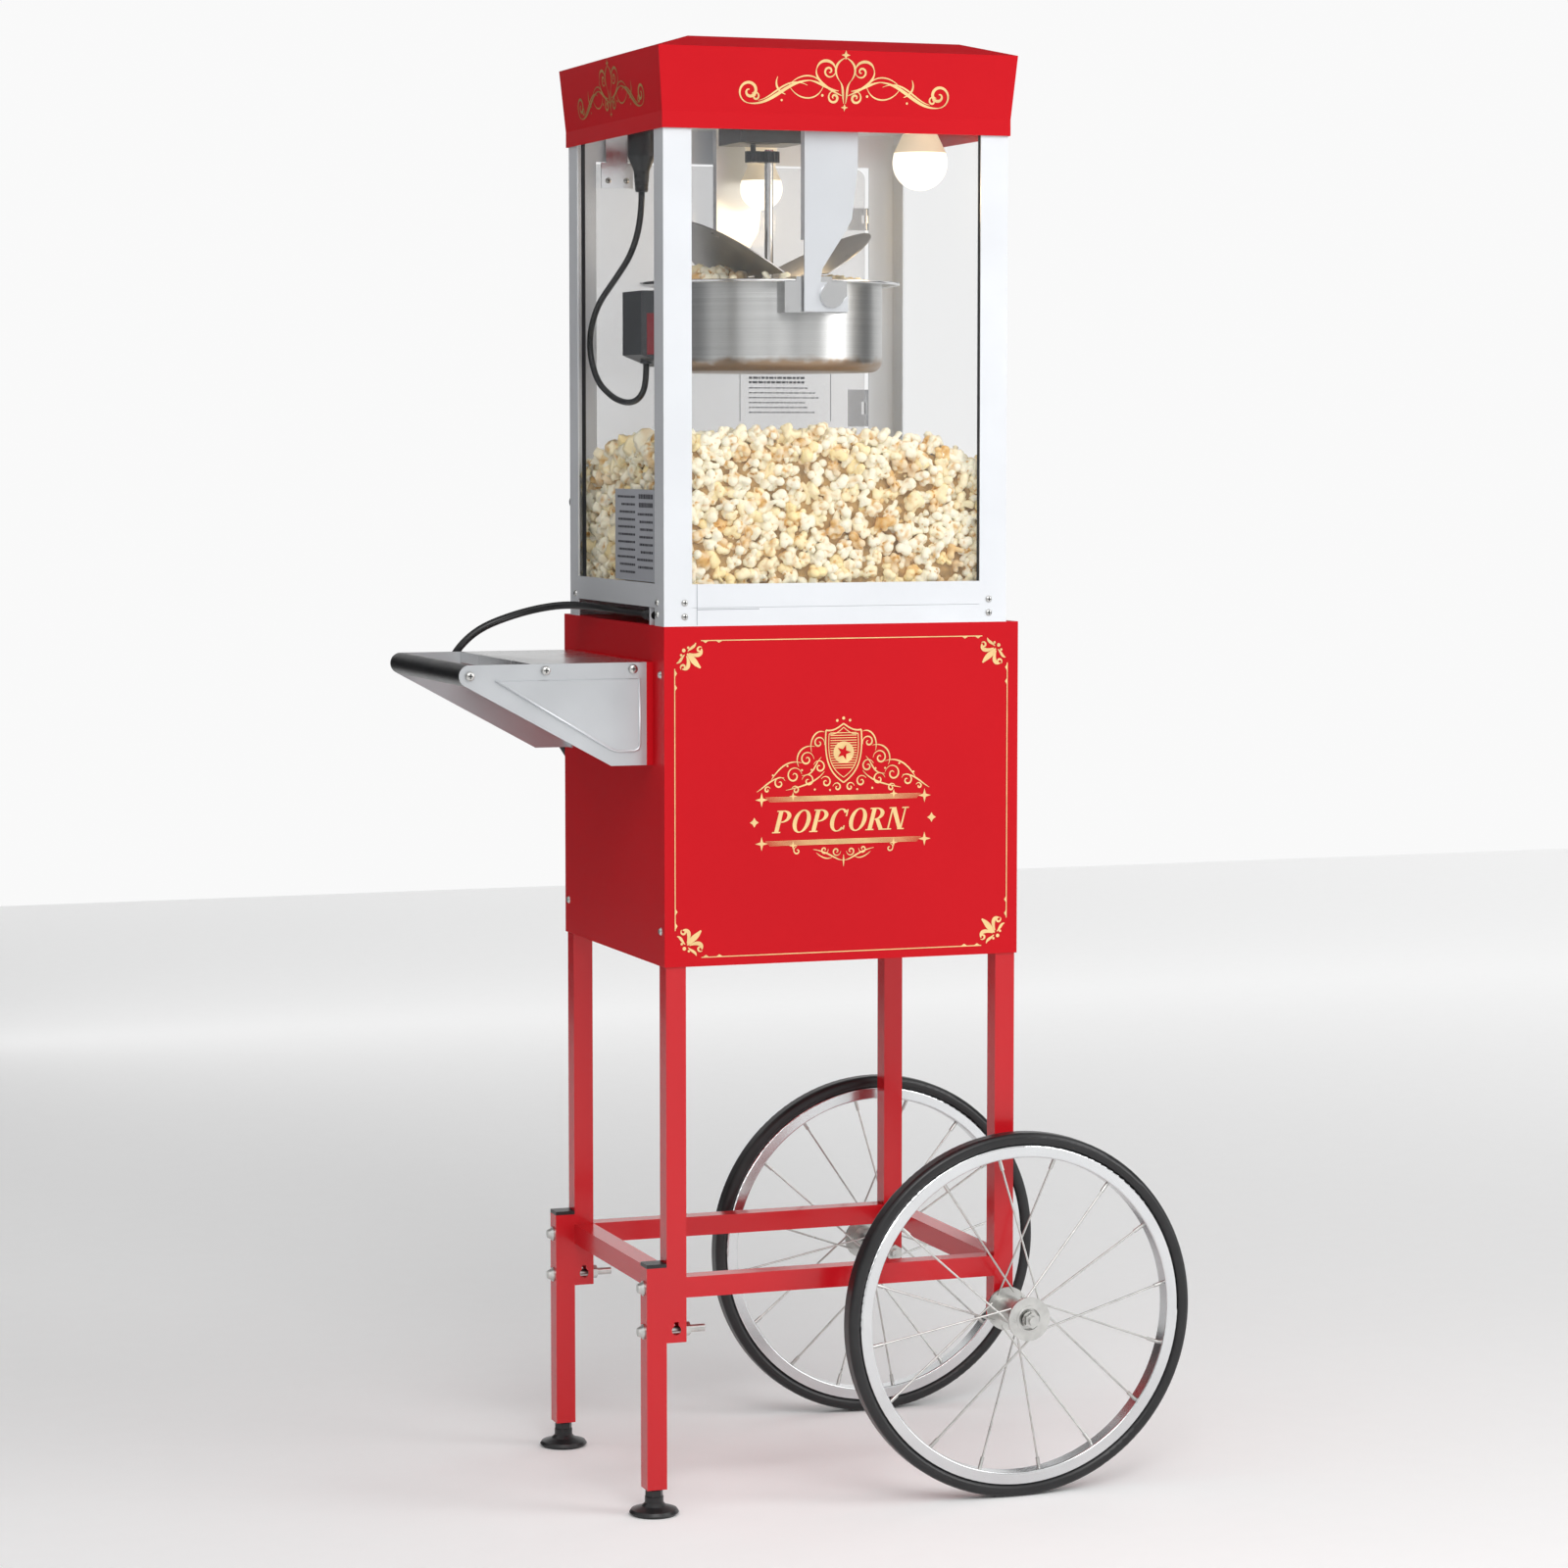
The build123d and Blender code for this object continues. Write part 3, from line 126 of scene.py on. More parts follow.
# ---- materials ----
def add_node(tree, kind, values=(), links=()):
    """A new shader node, with values for its inputs and outputs of other nodes linked to its inputs."""
    node = tree.nodes.new("ShaderNode" + kind)
    for key, value in dict(values).items():
        node.inputs[key].default_value = value
    for key, source in dict(links).items():
        tree.links.new(source, node.inputs[key])
    return node


def set_ramp(ramp, stops):
    """Gives a colour ramp its stops, each a position and a colour; the first two are its own."""
    elements = ramp.color_ramp.elements
    for k, (position, color) in enumerate(stops):
        stop = elements[k] if k < 2 else elements.new(position)
        stop.position = position
        stop.color = (*color, 1)


def material(name, color, rough=0.4, metal=0.0, vary=0.05, grain=30.0, stretch=(1, 1, 1),
             bump=0.1, bump_size=400.0, coat=0.0, rough_vary=0.08, gloss=0.5):
    """A surface with soft colour variation, uneven roughness and a fine relief."""
    made = bpy.data.materials.new(name)
    made.use_nodes = True
    tree = made.node_tree
    shader = tree.nodes["Principled BSDF"]
    for key, value in (("Metallic", metal), ("Specular IOR Level", gloss), ("Coat Weight", coat),
                       ("Coat Roughness", 0.08)):
        shader.inputs[key].default_value = value
    place = add_node(tree, "TexCoord")
    mapping = add_node(tree, "Mapping", {"Scale": stretch}, {"Vector": place.outputs["Object"]})
    at = {"Vector": mapping.outputs["Vector"]}
    cloud = add_node(tree, "TexNoise", {"Scale": grain, "Detail": 6}, at)
    ramp = add_node(tree, "ValToRGB", (), {"Fac": cloud.outputs["Fac"]})
    set_ramp(ramp, [(0.3, [c * (1 - vary) for c in color]), (0.7, [min(1, c * (1 + vary)) for c in color])])
    tree.links.new(ramp.outputs["Color"], shader.inputs["Base Color"])
    ends = {"To Min": max(0.02, rough - rough_vary), "To Max": rough + rough_vary}
    spread = add_node(tree, "MapRange", ends, {"Value": cloud.outputs["Fac"]})
    tree.links.new(spread.outputs["Result"], shader.inputs["Roughness"])
    relief = add_node(tree, "TexNoise", {"Scale": bump_size, "Detail": 3}, at)
    bumps = add_node(tree, "Bump", {"Strength": bump, "Distance": 0.0004}, {"Height": relief.outputs["Fac"]})
    tree.links.new(bumps.outputs["Normal"], shader.inputs["Normal"])
    return made


def clear_material(name, tint, cover, gloss):
    """A thin clear pane: mostly see-through, with faint wipe marks in its gloss."""
    made = material(name, tint, rough=0.06, vary=0.04, grain=8, bump=0.02, rough_vary=0.03, gloss=gloss)
    made.node_tree.nodes["Principled BSDF"].inputs["Alpha"].default_value = cover
    made.surface_render_method = "BLENDED"
    return made


def add_glow(made, color, strength):
    """Makes a material give light of its own."""
    shader = made.node_tree.nodes["Principled BSDF"]
    shader.inputs["Emission Color"].default_value = (*color, 1)
    shader.inputs["Emission Strength"].default_value = strength


STAIN_FULL_TO, STAIN_GONE_AT = 0.016, 0.024
STAIN_WOBBLE = 0.016


def stained_steel(name):
    """Drawn stainless steel with brown cooked-on oil around the bottom edge."""
    made = material(name, (0.60, 0.60, 0.59), rough=0.33, metal=1, vary=0.10, grain=2.0,
                    stretch=(1, 1, 260), bump=0.12, bump_size=6.0, rough_vary=0.07)
    tree = made.node_tree
    shader = tree.nodes["Principled BSDF"]
    base = shader.inputs["Base Color"].links[0].from_socket
    place = add_node(tree, "TexCoord").outputs["Object"]
    split = add_node(tree, "SeparateXYZ", (), {"Vector": place})
    noise = add_node(tree, "TexNoise", {"Scale": 60, "Detail": 8}, {"Vector": place})
    wobble = add_node(tree, "Math", {1: STAIN_WOBBLE}, {0: noise.outputs["Fac"], 2: split.outputs["Z"]})
    wobble.operation = "MULTIPLY_ADD"
    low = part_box("kettle_pot")[0].z
    reach = add_node(tree, "MapRange", {"From Min": low + STAIN_FULL_TO, "From Max": low + STAIN_GONE_AT,
                                        "To Min": 0.85, "To Max": 0.0}, {"Value": wobble.outputs["Value"]})
    mix = tree.nodes.new("ShaderNodeMix")
    mix.data_type = "RGBA"
    mix.inputs["B"].default_value = (0.28, 0.15, 0.045, 1)
    tree.links.new(reach.outputs["Result"], mix.inputs["Factor"])
    tree.links.new(base, mix.inputs["A"])
    tree.links.new(mix.outputs["Result"], shader.inputs["Base Color"])
    return made


RED = (0.53, 0.006, 0.012)
red_paint = material("red_paint", RED, rough=0.36, vary=0.04, grain=4, bump=0.04, bump_size=900,
                     rough_vary=0.03, gloss=0.12)
frame_red = material("frame_red_paint", RED, rough=0.24, vary=0.03, grain=5, bump=0.03, bump_size=700,
                     coat=0.15, rough_vary=0.02, gloss=0.4)
pale_paint = material("pale_paint", (0.80, 0.82, 0.85), rough=0.36, metal=0.4, vary=0.03, grain=6,
                      bump=0.05, bump_size=900)
stainless = material("stainless", (0.66, 0.66, 0.66), rough=0.25, metal=1, vary=0.06, grain=3,
                     stretch=(1, 120, 1), bump=0.08, bump_size=8)
kettle_steel = stained_steel("kettle_steel")
lid_steel = material("lid_steel", (0.27, 0.255, 0.24), rough=0.30, metal=0.9, vary=0.22, grain=26,
                     bump=0.12, bump_size=300)
arm_steel = material("arm_steel", (0.74, 0.76, 0.79), rough=0.30, metal=0.55, vary=0.04, grain=7,
                     bump=0.04, bump_size=700)
shelf_steel = material("shelf_steel", (0.62, 0.64, 0.66), rough=0.32, metal=0.7, vary=0.06, grain=10,
                       bump=0.06, bump_size=600)
zinc = material("zinc", (0.58, 0.58, 0.56), rough=0.30, metal=1, vary=0.12, grain=90, bump=0.15,
                bump_size=900)
chrome = material("chrome", (0.75, 0.75, 0.76), rough=0.12, metal=1, vary=0.04, grain=60, bump=0.03)
rim_metal = material("rim_metal", (0.70, 0.71, 0.72), rough=0.2, metal=1, vary=0.05, grain=20, bump=0.04)
tyre_rubber = material("tyre_rubber", (0.010, 0.010, 0.011), rough=0.34, vary=0.25, grain=50, bump=0.15,
                       bump_size=700)
black_rubber = material("black_rubber", (0.010, 0.010, 0.011), rough=0.32, vary=0.2, grain=60, bump=0.2,
                        bump_size=1500)
black_plastic = material("black_plastic", (0.012, 0.012, 0.013), rough=0.36, vary=0.15, grain=80, bump=0.2,
                         bump_size=1800)
dark_plastic = material("dark_plastic", (0.045, 0.047, 0.052), rough=0.42, vary=0.2, grain=60, bump=0.2,
                        bump_size=1200)
sheath = material("cord_sheath", (0.012, 0.012, 0.013), rough=0.34, vary=0.15, grain=70, bump=0.12,
                  bump_size=1500)
holder_cream = material("holder_cream", (0.80, 0.74, 0.62), rough=0.35, vary=0.06, grain=40, bump=0.05)
# The holders and collars give no light of their own: this warm glow is painted light from the globes.
add_glow(holder_cream, (1.0, 0.80, 0.50), 0.22)
gold = material("gold_print", (0.86, 0.60, 0.27), rough=0.34, metal=0.25, vary=0.14, grain=45, bump=0.08,
                bump_size=900)
# A darker copy of the gold print for the canopy's grip side: the darkening is painted shade.
gold_painted_shade = material("gold_print_painted_shade", (0.42, 0.27, 0.09), rough=0.4, metal=0.3, vary=0.2, grain=45,
                     bump=0.08, bump_size=900)
pane = clear_material("pane", (0.40, 0.43, 0.45), 0.045, 1.0)
door_pane = clear_material("door_pane", (0.74, 0.75, 0.78), 0.30, 0.6)
BULB_COLOR = (1.0, 0.92, 0.78)
bulb_glow = material("bulb_glass", BULB_COLOR, rough=0.3, vary=0.02, bump=0.02)
add_glow(bulb_glow, BULB_COLOR, 1.05)
label_grey = material("label_grey", (0.36, 0.37, 0.40), rough=0.5, vary=0.05, bump=0.03)
ink = material("label_ink", (0.06, 0.06, 0.07), rough=0.6, vary=0.1, bump=0.02)

FINISHES = (
    (frame_red, ("legs", "frame_rails", "foot_tubes")),
    (black_plastic, ("tube_caps", "levelling_foot_front", "levelling_foot_rear", "switch_bezels",
                     "light_switch", "heat_switch", "stir_switch", "kettle_socket", "kettle_plug",
                     "strain_relief", "mains_plug")),
    (zinc, ("foot_bolts", "panel_screws", "axle_bolts", "spokes_front", "hub_front", "spokes_rear",
            "hub_rear")),
    (red_paint, ("cabinet_front_panel", "cabinet_side_panels", "cabinet_deck", "cabinet_floor",
                 "shelf_wall_rail", "canopy")),
    (shelf_steel, ("shelf_brackets",)),
    (stainless, ("shelf_plate", "serving_deck", "kettle_bridge")),
    (black_rubber, ("grip_bar",)),
    (pale_paint, ("lower_rails", "corner_posts", "ceiling_plate")),
    (pane, ("glass_panes",)),
    (bulb_glow, ("bulbs",)),
    (holder_cream, ("lamp_holders",)),
    (dark_plastic, ("agitator_gear", "drive_gear", "gear_motor", "terminal_box")),
    (chrome, ("agitator_shaft", "popper_door_fittings", "door_hinges", "door_catch")),
    (kettle_steel, ("kettle_pot",)),
    (lid_steel, ("lid_left", "lid_right")),
    (arm_steel, ("kettle_arms",)),
    (door_pane, ("popper_door",)),
    (tyre_rubber, ("tyre_front", "tyre_rear")),
    (rim_metal, ("rim_front", "rim_rear")),
)
for made, node_names in FINISHES:
    for node_name in node_names:
        skins = nodes[node_name].data.materials
        skins.clear()
        skins.append(made)


# ---- camera, floor and light ----
CAMERA_PLACE = (-1.58349, -4.43406, 1.1412)
CAMERA_PITCH, CAMERA_YAW = radians(85.37), radians(-19.77)
CAMERA_LENS, CAMERA_SENSOR = 98.62, 36
ROOM_STRENGTH = 0.95
FLOOR_HALF, FLOOR_DEPTH = 6, 0.02
LAMP_COLOR = (1.0, 0.74, 0.42)
LAMP_RADIUS = 0.03
FLAG_COLOR = (0.02, 0.02, 0.022)
FLAGS = {
    "flag_left": ((-3.2, -2.6, 0.2), (-3.1, -1.2, 2.6)),
    "flag_far_left": ((-4.2, -0.6, 0.2), (-4.1, 1.6, 2.8)),
    "flag_front": ((0.1, -3.6, 0.5), (0.75, -3.5, 2.4)),
    "flag_right": ((2.6, -0.9, 0.4), (2.7, 0.8, 2.6)),
    "flag_above": ((-1.6, -0.4, 3.2), (1.6, 1.6, 3.3)),
    "flag_behind_left": ((-6.0, 3.6, -0.5), (-0.5, 3.7, 1.8)),
    "flag_behind_top": ((-6.0, 3.6, 1.9), (3.0, 3.7, 4.8)),
    "flag_front_left": ((-1.5, -3.9, 0.4), (-1.0, -3.8, 2.4)),
    "flag_front_right": ((1.5, -3.3, 0.4), (2.0, -3.2, 2.4)),
}


def make_camera():
    """The viewing angle: from the grip side of the front, a little above the middle of the cart."""
    data = bpy.data.cameras.new("camera")
    data.lens = CAMERA_LENS
    data.sensor_width = CAMERA_SENSOR
    camera = linked("camera", data)
    camera.location = CAMERA_PLACE
    camera.rotation_euler = (CAMERA_PITCH, 0, CAMERA_YAW)
    scene.camera = camera


def area_light(name, place, target, size, power):
    """A soft rectangular light that faces its target."""
    data = bpy.data.lights.new(name, "AREA")
    data.shape = "RECTANGLE"
    data.size, data.size_y = size
    data.energy = power
    light = linked(name, data)
    light.location = place
    light.rotation_euler = (Vector(target) - Vector(place)).to_track_quat("-Z", "Y").to_euler()


def make_world():
    """A bright white room."""
    world = bpy.data.worlds.new("studio")
    world.use_nodes = True
    scene.world = world
    background = world.node_tree.nodes["Background"]
    background.inputs["Color"].default_value = (1.0, 1.0, 1.0, 1)
    background.inputs["Strength"].default_value = ROOM_STRENGTH


def dark_flag(name, low, high):
    """A dark card out of view that bright metal and glass show as a band."""
    verts, faces = box_mesh(low, high)
    card = mesh_object(name, verts, faces, material(name, FLAG_COLOR, rough=0.9, bump=0))
    card.visible_camera = False
    card.visible_shadow = False


def make_floor():
    """A wide pale floor with its top at zero."""
    verts, faces = box_mesh((-FLOOR_HALF, -FLOOR_HALF, -FLOOR_DEPTH), (FLOOR_HALF, FLOOR_HALF, 0))
    pale = material("floor_pale", (0.97, 0.97, 0.97), rough=0.8, vary=0.005, bump=0.02, gloss=0.1)
    mesh_object("floor", verts, faces, pale)


def lamp_light(name, place, energy):
    """The warm light that a lamp throws on the ceiling and the corn."""
    data = bpy.data.lights.new(name, "POINT")
    data.energy = energy
    data.color = LAMP_COLOR
    data.shadow_soft_size = LAMP_RADIUS
    linked(name, data).location = place


make_camera()
make_floor()
make_world()
area_light("key", (-0.6, -3.6, 3.4), (0, 0, 0.9), (2.2, 2.2), 66)
area_light("right_edge", (2.8, -2.2, 1.9), (0, 0, 1.0), (1.2, 2.6), 35)
for flag_name, (flag_low, flag_high) in FLAGS.items():
    dark_flag(flag_name, flag_low, flag_high)
lamp_light("lamp_right", (0.130, -0.135, 1.395), 0.30)
lamp_light("lamp_rear", (0.0176, 0.060, 1.380), 0.12)


# ---- mains lead ----
CORD_D = 0.0084
FLOOR_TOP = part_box("cabinet_floor")[1].z
COIL_AT = (-0.028, 0.114)
COIL_START = radians(212.6)
COIL_TURNS = 3.16
STEPS_PER_TURN = 18
INNER_R, OUTER_R = 0.0433, 0.0517
LOW_Z = FLOOR_TOP + CORD_D / 2
HIGH_Z = LOW_Z + CORD_D
MAINS_ROUTE = [
    (-0.181, -0.100, 0.953), (-0.1825, -0.052, 0.9533), (-0.1845, 0.003, 0.9536), (-0.190, 0.055, 0.955),
    (-0.206, 0.100, 0.9565), (-0.230, 0.134, 0.9515), (-0.262, 0.1505, 0.9415), (-0.294, 0.1535, 0.9285),
    (-0.317, 0.156, 0.908), (-0.327, 0.168, 0.883), (-0.323, 0.184, 0.862), (-0.307, 0.199, 0.850),
    (-0.277, 0.209, 0.845), (-0.241, 0.204, 0.8415), (-0.214, 0.200, 0.829), (-0.191, 0.197, 0.804),
    (-0.169, 0.1945, 0.768), (-0.151, 0.191, 0.727), (-0.134, 0.182, 0.685), (-0.118, 0.166, 0.646),
    (-0.106, 0.149, 0.618), (-0.097, 0.129, 0.601), (-0.088, 0.107, LOW_Z),
]


def ease(t, start, end):
    """A smooth change from 0 to 1 between start and end."""
    s = min(1.0, max(0.0, (t - start) / (end - start)))
    return s * s * (3 - 2 * s)


def coil_points():
    """The put-away length: two rings on the cabinet floor, then two on top that end at the plug."""
    points = []
    for k in range(int(COIL_TURNS * STEPS_PER_TURN) + 1):
        t = k / STEPS_PER_TURN
        inward = ease(t, 0.80, 0.95) - ease(t, 2.40, 2.60)
        r = OUTER_R + (INNER_R - OUTER_R) * inward
        z = LOW_Z + (HIGH_Z - LOW_Z) * ease(t, 1.62, 1.80)
        a = COIL_START + 2 * pi * t
        points.append((COIL_AT[0] + r * cos(a), COIL_AT[1] + r * sin(a), z))
    return points


def nurbs(name, points, diameter, made):
    """A round tube along a smooth curve with these control points."""
    curve = bpy.data.curves.new(name, "CURVE")
    curve.dimensions = "3D"
    spline = curve.splines.new("NURBS")
    spline.points.add(len(points) - 1)
    for point, place in zip(spline.points, points):
        point.co = (*place, 1)
    spline.order_u = 3
    spline.use_endpoint_u = True
    curve.resolution_u = 6
    curve.bevel_depth = diameter / 2
    curve.bevel_resolution = 4
    curve.use_fill_caps = True
    curve.materials.append(made)
    return linked(name, curve)


PLUG_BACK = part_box("mains_plug")[0].x
PLUG_Y = COIL_AT[1] - OUTER_R
mains_lead = nurbs("mains_lead", MAINS_ROUTE + coil_points() + [(PLUG_BACK - 0.012, PLUG_Y, HIGH_Z),
                   (PLUG_BACK + 0.004, PLUG_Y, HIGH_Z)], CORD_D, sheath)
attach(mains_lead, "root")
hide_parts("mains_cord", "cord_coil")


# ---- kettle lead ----
KETTLE_CORD_D = 0.0068
KETTLE_ROUTE = [
    (-0.157, -0.014, 1.402), (-0.157, -0.014, 1.377), (-0.1615, 0.004, 1.338), (-0.169, 0.047, 1.309),
    (-0.175, 0.093, 1.283), (-0.177, 0.118, 1.244), (-0.173, 0.103, 1.203), (-0.167, 0.065, 1.184),
    (-0.161, 0.034, 1.177), (-0.157, 0.008, 1.1785), (-0.154, -0.010, 1.188), (-0.153, -0.016, 1.205),
    (-0.153, -0.016, 1.2189),
]


def centreline(curve_piece):
    """The points that a curve runs through, read from the curve itself with no bevel."""
    curve_piece.data.bevel_depth = 0
    bpy.context.view_layer.update()
    graph = bpy.context.evaluated_depsgraph_get()
    line = bpy.data.meshes.new_from_object(curve_piece.evaluated_get(graph))
    return [Vector(v.co) for v in line.vertices]


def tube(path, radius, sides=14):
    """Vertices and faces of a round tube along a path, its ends closed."""
    verts, faces = [], []
    side = Vector((1, 0, 0))
    for i, here in enumerate(path):
        ahead = path[min(i + 1, len(path) - 1)] - path[max(i - 1, 0)]
        ahead.normalize()
        side = (side - ahead * side.dot(ahead)).normalized()
        other = ahead.cross(side)
        for k in range(sides):
            a = 2 * pi * k / sides
            verts.append(here + side * (radius * cos(a)) + other * (radius * sin(a)))
    for i in range(len(path) - 1):
        for k in range(sides):
            a, b = i * sides + k, i * sides + (k + 1) % sides
            faces.append((a, b, b + sides, a + sides))
    faces.append(tuple(reversed(range(sides))))
    faces.append(tuple(range((len(path) - 1) * sides, len(path) * sides)))
    return verts, faces


def make_kettle_lead():
    """The kettle's own lead, a curved tube between the fixed plug and the kettle; it stays put when the
    kettle tilts.
    """
    guide = nurbs("kettle_lead_guide", KETTLE_ROUTE, KETTLE_CORD_D, sheath)
    path = centreline(guide)
    bpy.data.objects.remove(guide)
    verts, faces = tube(path, KETTLE_CORD_D / 2)
    lead = mesh_object("kettle_lead", verts, faces, sheath, smooth=True)
    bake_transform(lead)
    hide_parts("kettle_cord")


make_kettle_lead()


# ---- popped corn ----
KERNEL_SIZES = (0.0125, 0.0158)
KERNEL_STRETCH = (0.85, 1.1)
KERNEL_CORE = 0.36
STEEP = 0.7
TRIES_PER_CELL = 14
TOP_LAYER, UNDER_LAYER, KETTLE_LAYER = (0.0130, 0.0095), (0.0155, 0.020), (0.0132, 0.0085)
HEAP_MARGIN = 0.0125
HEAP_FRONT = 0.09
KETTLE_CORN_R = 0.106


def popcorn_material():
    """Creamy lobes, buttery yellow between them and brown hull in the deepest folds; the darkening towards
    the folds is partly that colour and partly painted shade.
    """
    made = material("popcorn", (0.9, 0.8, 0.6), rough=0.55, gloss=0.3, vary=0.04, grain=120, bump=0.5,
                    bump_size=900)
    tree = made.node_tree
    shader = tree.nodes["Principled BSDF"]
    shader.inputs["Subsurface Weight"].default_value = 0.08
    shader.inputs["Subsurface Radius"].default_value = (0.006, 0.004, 0.002)
    fold = add_node(tree, "Attribute")
    fold.attribute_name = "fold"
    toast = add_node(tree, "Attribute")
    toast.attribute_name = "toast"
    # The fold ramp darkens from cream to near-black brown towards the folds: partly hull and butter colour,
    # partly painted shade in the creases.
    lobes = add_node(tree, "ValToRGB", (), {"Fac": fold.outputs["Fac"]})
    set_ramp(lobes, [(0.03, (0.20, 0.06, 0.010)), (0.62, (0.96, 0.90, 0.72)), (0.22, (0.70, 0.40, 0.11))])
    warm = tree.nodes.new("ShaderNodeMix")
    warm.data_type = "RGBA"
    warm.blend_type = "MULTIPLY"
    warm.inputs["B"].default_value = (1.0, 0.86, 0.55, 1)
    tree.links.new(toast.outputs["Fac"], warm.inputs["Factor"])
    tree.links.new(lobes.outputs["Color"], warm.inputs["A"])
    tree.links.new(warm.outputs["Result"], shader.inputs["Base Color"])
    return made


popcorn = popcorn_material()
rng = np.random.default_rng(7)


def ball(detail):
    """Unit directions and triangles of an even ball."""
    shape = bmesh.new()
    bmesh.ops.create_icosphere(shape, subdivisions=detail, radius=1)
    directions = np.array([v.co for v in shape.verts])
    triangles = np.array([[v.index for v in face.verts] for face in shape.faces])
    shape.free()
    return directions, triangles


def popped(directions):
    """Radius of one popped kernel in each direction, and how near each point is to a fold."""
    count = rng.integers(7, 13)
    lobes = rng.normal(size=(count, 3))
    lobes /= np.linalg.norm(lobes, axis=1)[:, None]
    away = rng.uniform(0.40, 0.72, count)
    size = rng.uniform(0.22, 0.42, count)
    along = (directions @ lobes.T) * away
    inside = size ** 2 - (away ** 2 - along ** 2)
    reach = np.where(inside > 0, along + np.sqrt(np.maximum(inside, 0)), 0)
    reach = np.concatenate([reach, np.full((len(directions), 1), KERNEL_CORE)], axis=1)
    ordered = np.sort(reach, axis=1)
    radius = ordered[:, -1]
    fold = np.clip((radius - ordered[:, -2]) * 2.2 + (radius - KERNEL_CORE) * 0.9, 0, 1)
    return radius, fold


def make_variants(detail, count=14):
    """Several popped kernels to choose from: points, triangles and fold values."""
    directions, triangles = ball(detail)
    made = []
    for _ in range(count):
        radius, fold = popped(directions)
        made.append((directions * radius[:, None], triangles, fold))
    return made


FINE, COARSE = make_variants(3), make_variants(2)


def scatter(node, spacing, inset):
    """Evenly spaced places just under a node's outside, its underside left out, with the way out at each."""
    mesh = nodes[node].data
    mesh.calc_loop_triangles()
    corners = np.array([[mesh.vertices[i].co for i in t.vertices] for t in mesh.loop_triangles])
    cross = np.cross(corners[:, 1] - corners[:, 0], corners[:, 2] - corners[:, 0])
    area = np.linalg.norm(cross, axis=1) / 2
    normals = cross / (2 * area[:, None] + 1e-12)
    area = np.where(normals[:, 2] < -STEEP, 0, area)
    tries = int(TRIES_PER_CELL * area.sum() / spacing ** 2)
    chosen = rng.choice(len(area), tries, p=area / area.sum())
    a, b = rng.random(tries), rng.random(tries)
    a, b = np.where(a + b > 1, 1 - a, a), np.where(a + b > 1, 1 - b, b)
    t = corners[chosen]
    spots = t[:, 0] + a[:, None] * (t[:, 1] - t[:, 0]) + b[:, None] * (t[:, 2] - t[:, 0])
    spots = spots - normals[chosen] * inset
    kept, cells = [], {}
    for spot, normal in zip(spots, normals[chosen]):
        cell = tuple((spot // spacing).astype(int))
        near = [q for dx in (-1, 0, 1) for dy in (-1, 0, 1) for dz in (-1, 0, 1)
                for q in cells.get((cell[0] + dx, cell[1] + dy, cell[2] + dz), ())]
        if all(np.linalg.norm(spot - q) >= spacing for q in near):
            cells.setdefault(cell, []).append(spot)
            kept.append((spot, normal))
    return kept


def random_turn():
    """An even random rotation matrix."""
    q = rng.normal(size=4)
    w, x, y, z = q / np.linalg.norm(q)
    return np.array([
        [1 - 2 * (y * y + z * z), 2 * (x * y - z * w), 2 * (x * z + y * w)],
        [2 * (x * y + z * w), 1 - 2 * (x * x + z * z), 2 * (y * z - x * w)],
        [2 * (x * z - y * w), 2 * (y * z + x * w), 1 - 2 * (x * x + y * y)],
    ])


def corn_piece(name, places, variants, body):
    """One mesh of many popped kernels."""
    verts, faces, folds, toasts = [], [], [], []
    start = 0
    for spot, _ in places:
        points, triangles, fold = variants[rng.integers(len(variants))]
        size = rng.uniform(*KERNEL_SIZES) * rng.uniform(*KERNEL_STRETCH, 3)
        verts.append((points * size) @ random_turn().T + spot)
        faces.append(triangles + start)
        folds.append(fold * rng.choice([1.0, 0.7, 0.45], p=[0.6, 0.3, 0.1]))
        toasts.append(np.full(len(points), rng.random() ** 3.0))
        start += len(points)
    piece = mesh_piece(name, np.concatenate(verts).tolist(), np.concatenate(faces).tolist(), popcorn, body)
    for label, values in (("fold", folds), ("toast", toasts)):
        layer = piece.data.attributes.new(label, "FLOAT", "POINT")
        layer.data.foreach_set("value", np.concatenate(values).astype(np.float32))
    return piece


def make_heap():
    """The drift of corn on the deck: kernels over a darker bed that closes the gaps between them, its brown
    painted shade of the corn deeper in the heap.
    """
    low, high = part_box("popcorn_heap")
    front, rest = [], []
    for spot, way in scatter("popcorn_heap", *TOP_LAYER) + scatter("popcorn_heap", *UNDER_LAYER):
        spot[0] = min(max(spot[0], low.x + HEAP_MARGIN), high.x - HEAP_MARGIN)
        spot[1] = min(max(spot[1], low.y + HEAP_MARGIN), high.y - HEAP_MARGIN)
        near = way[1] < -STEEP or (way[2] > 0.5 and spot[1] < low.y + HEAP_FRONT)
        (front if near else rest).append((spot, way))
    middle = (low.x + high.x) / 2
    groups = [
        ("corn_front_left", [p for p in front if p[0][0] < middle], FINE),
        ("corn_front_right", [p for p in front if p[0][0] >= middle], FINE),
        ("corn_rest", rest, COARSE),
    ]
    for name, group, variants in groups:
        corn_piece(name, group, variants, "root")
    source = nodes["popcorn_heap"].data
    centre = Vector((middle, (low.y + high.y) / 2, low.z))
    shrink = Vector((0.93, 0.92, 0.93))
    verts = [centre + Vector([o * k for o, k in zip(v.co - centre, shrink)]) for v in source.vertices]
    # The bed is painted shade: a dark brown shell that stands for shadowed corn seen through the gaps.
    bed = mesh_piece("corn_bed_painted_shade", verts, [list(p.vertices) for p in source.polygons],
                     material("corn_bed_painted_shade", (0.42, 0.26, 0.10), rough=0.8, vary=0.35, grain=110, bump=0.8,
                              bump_size=120), "root", smooth=False)
    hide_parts("popcorn_heap")


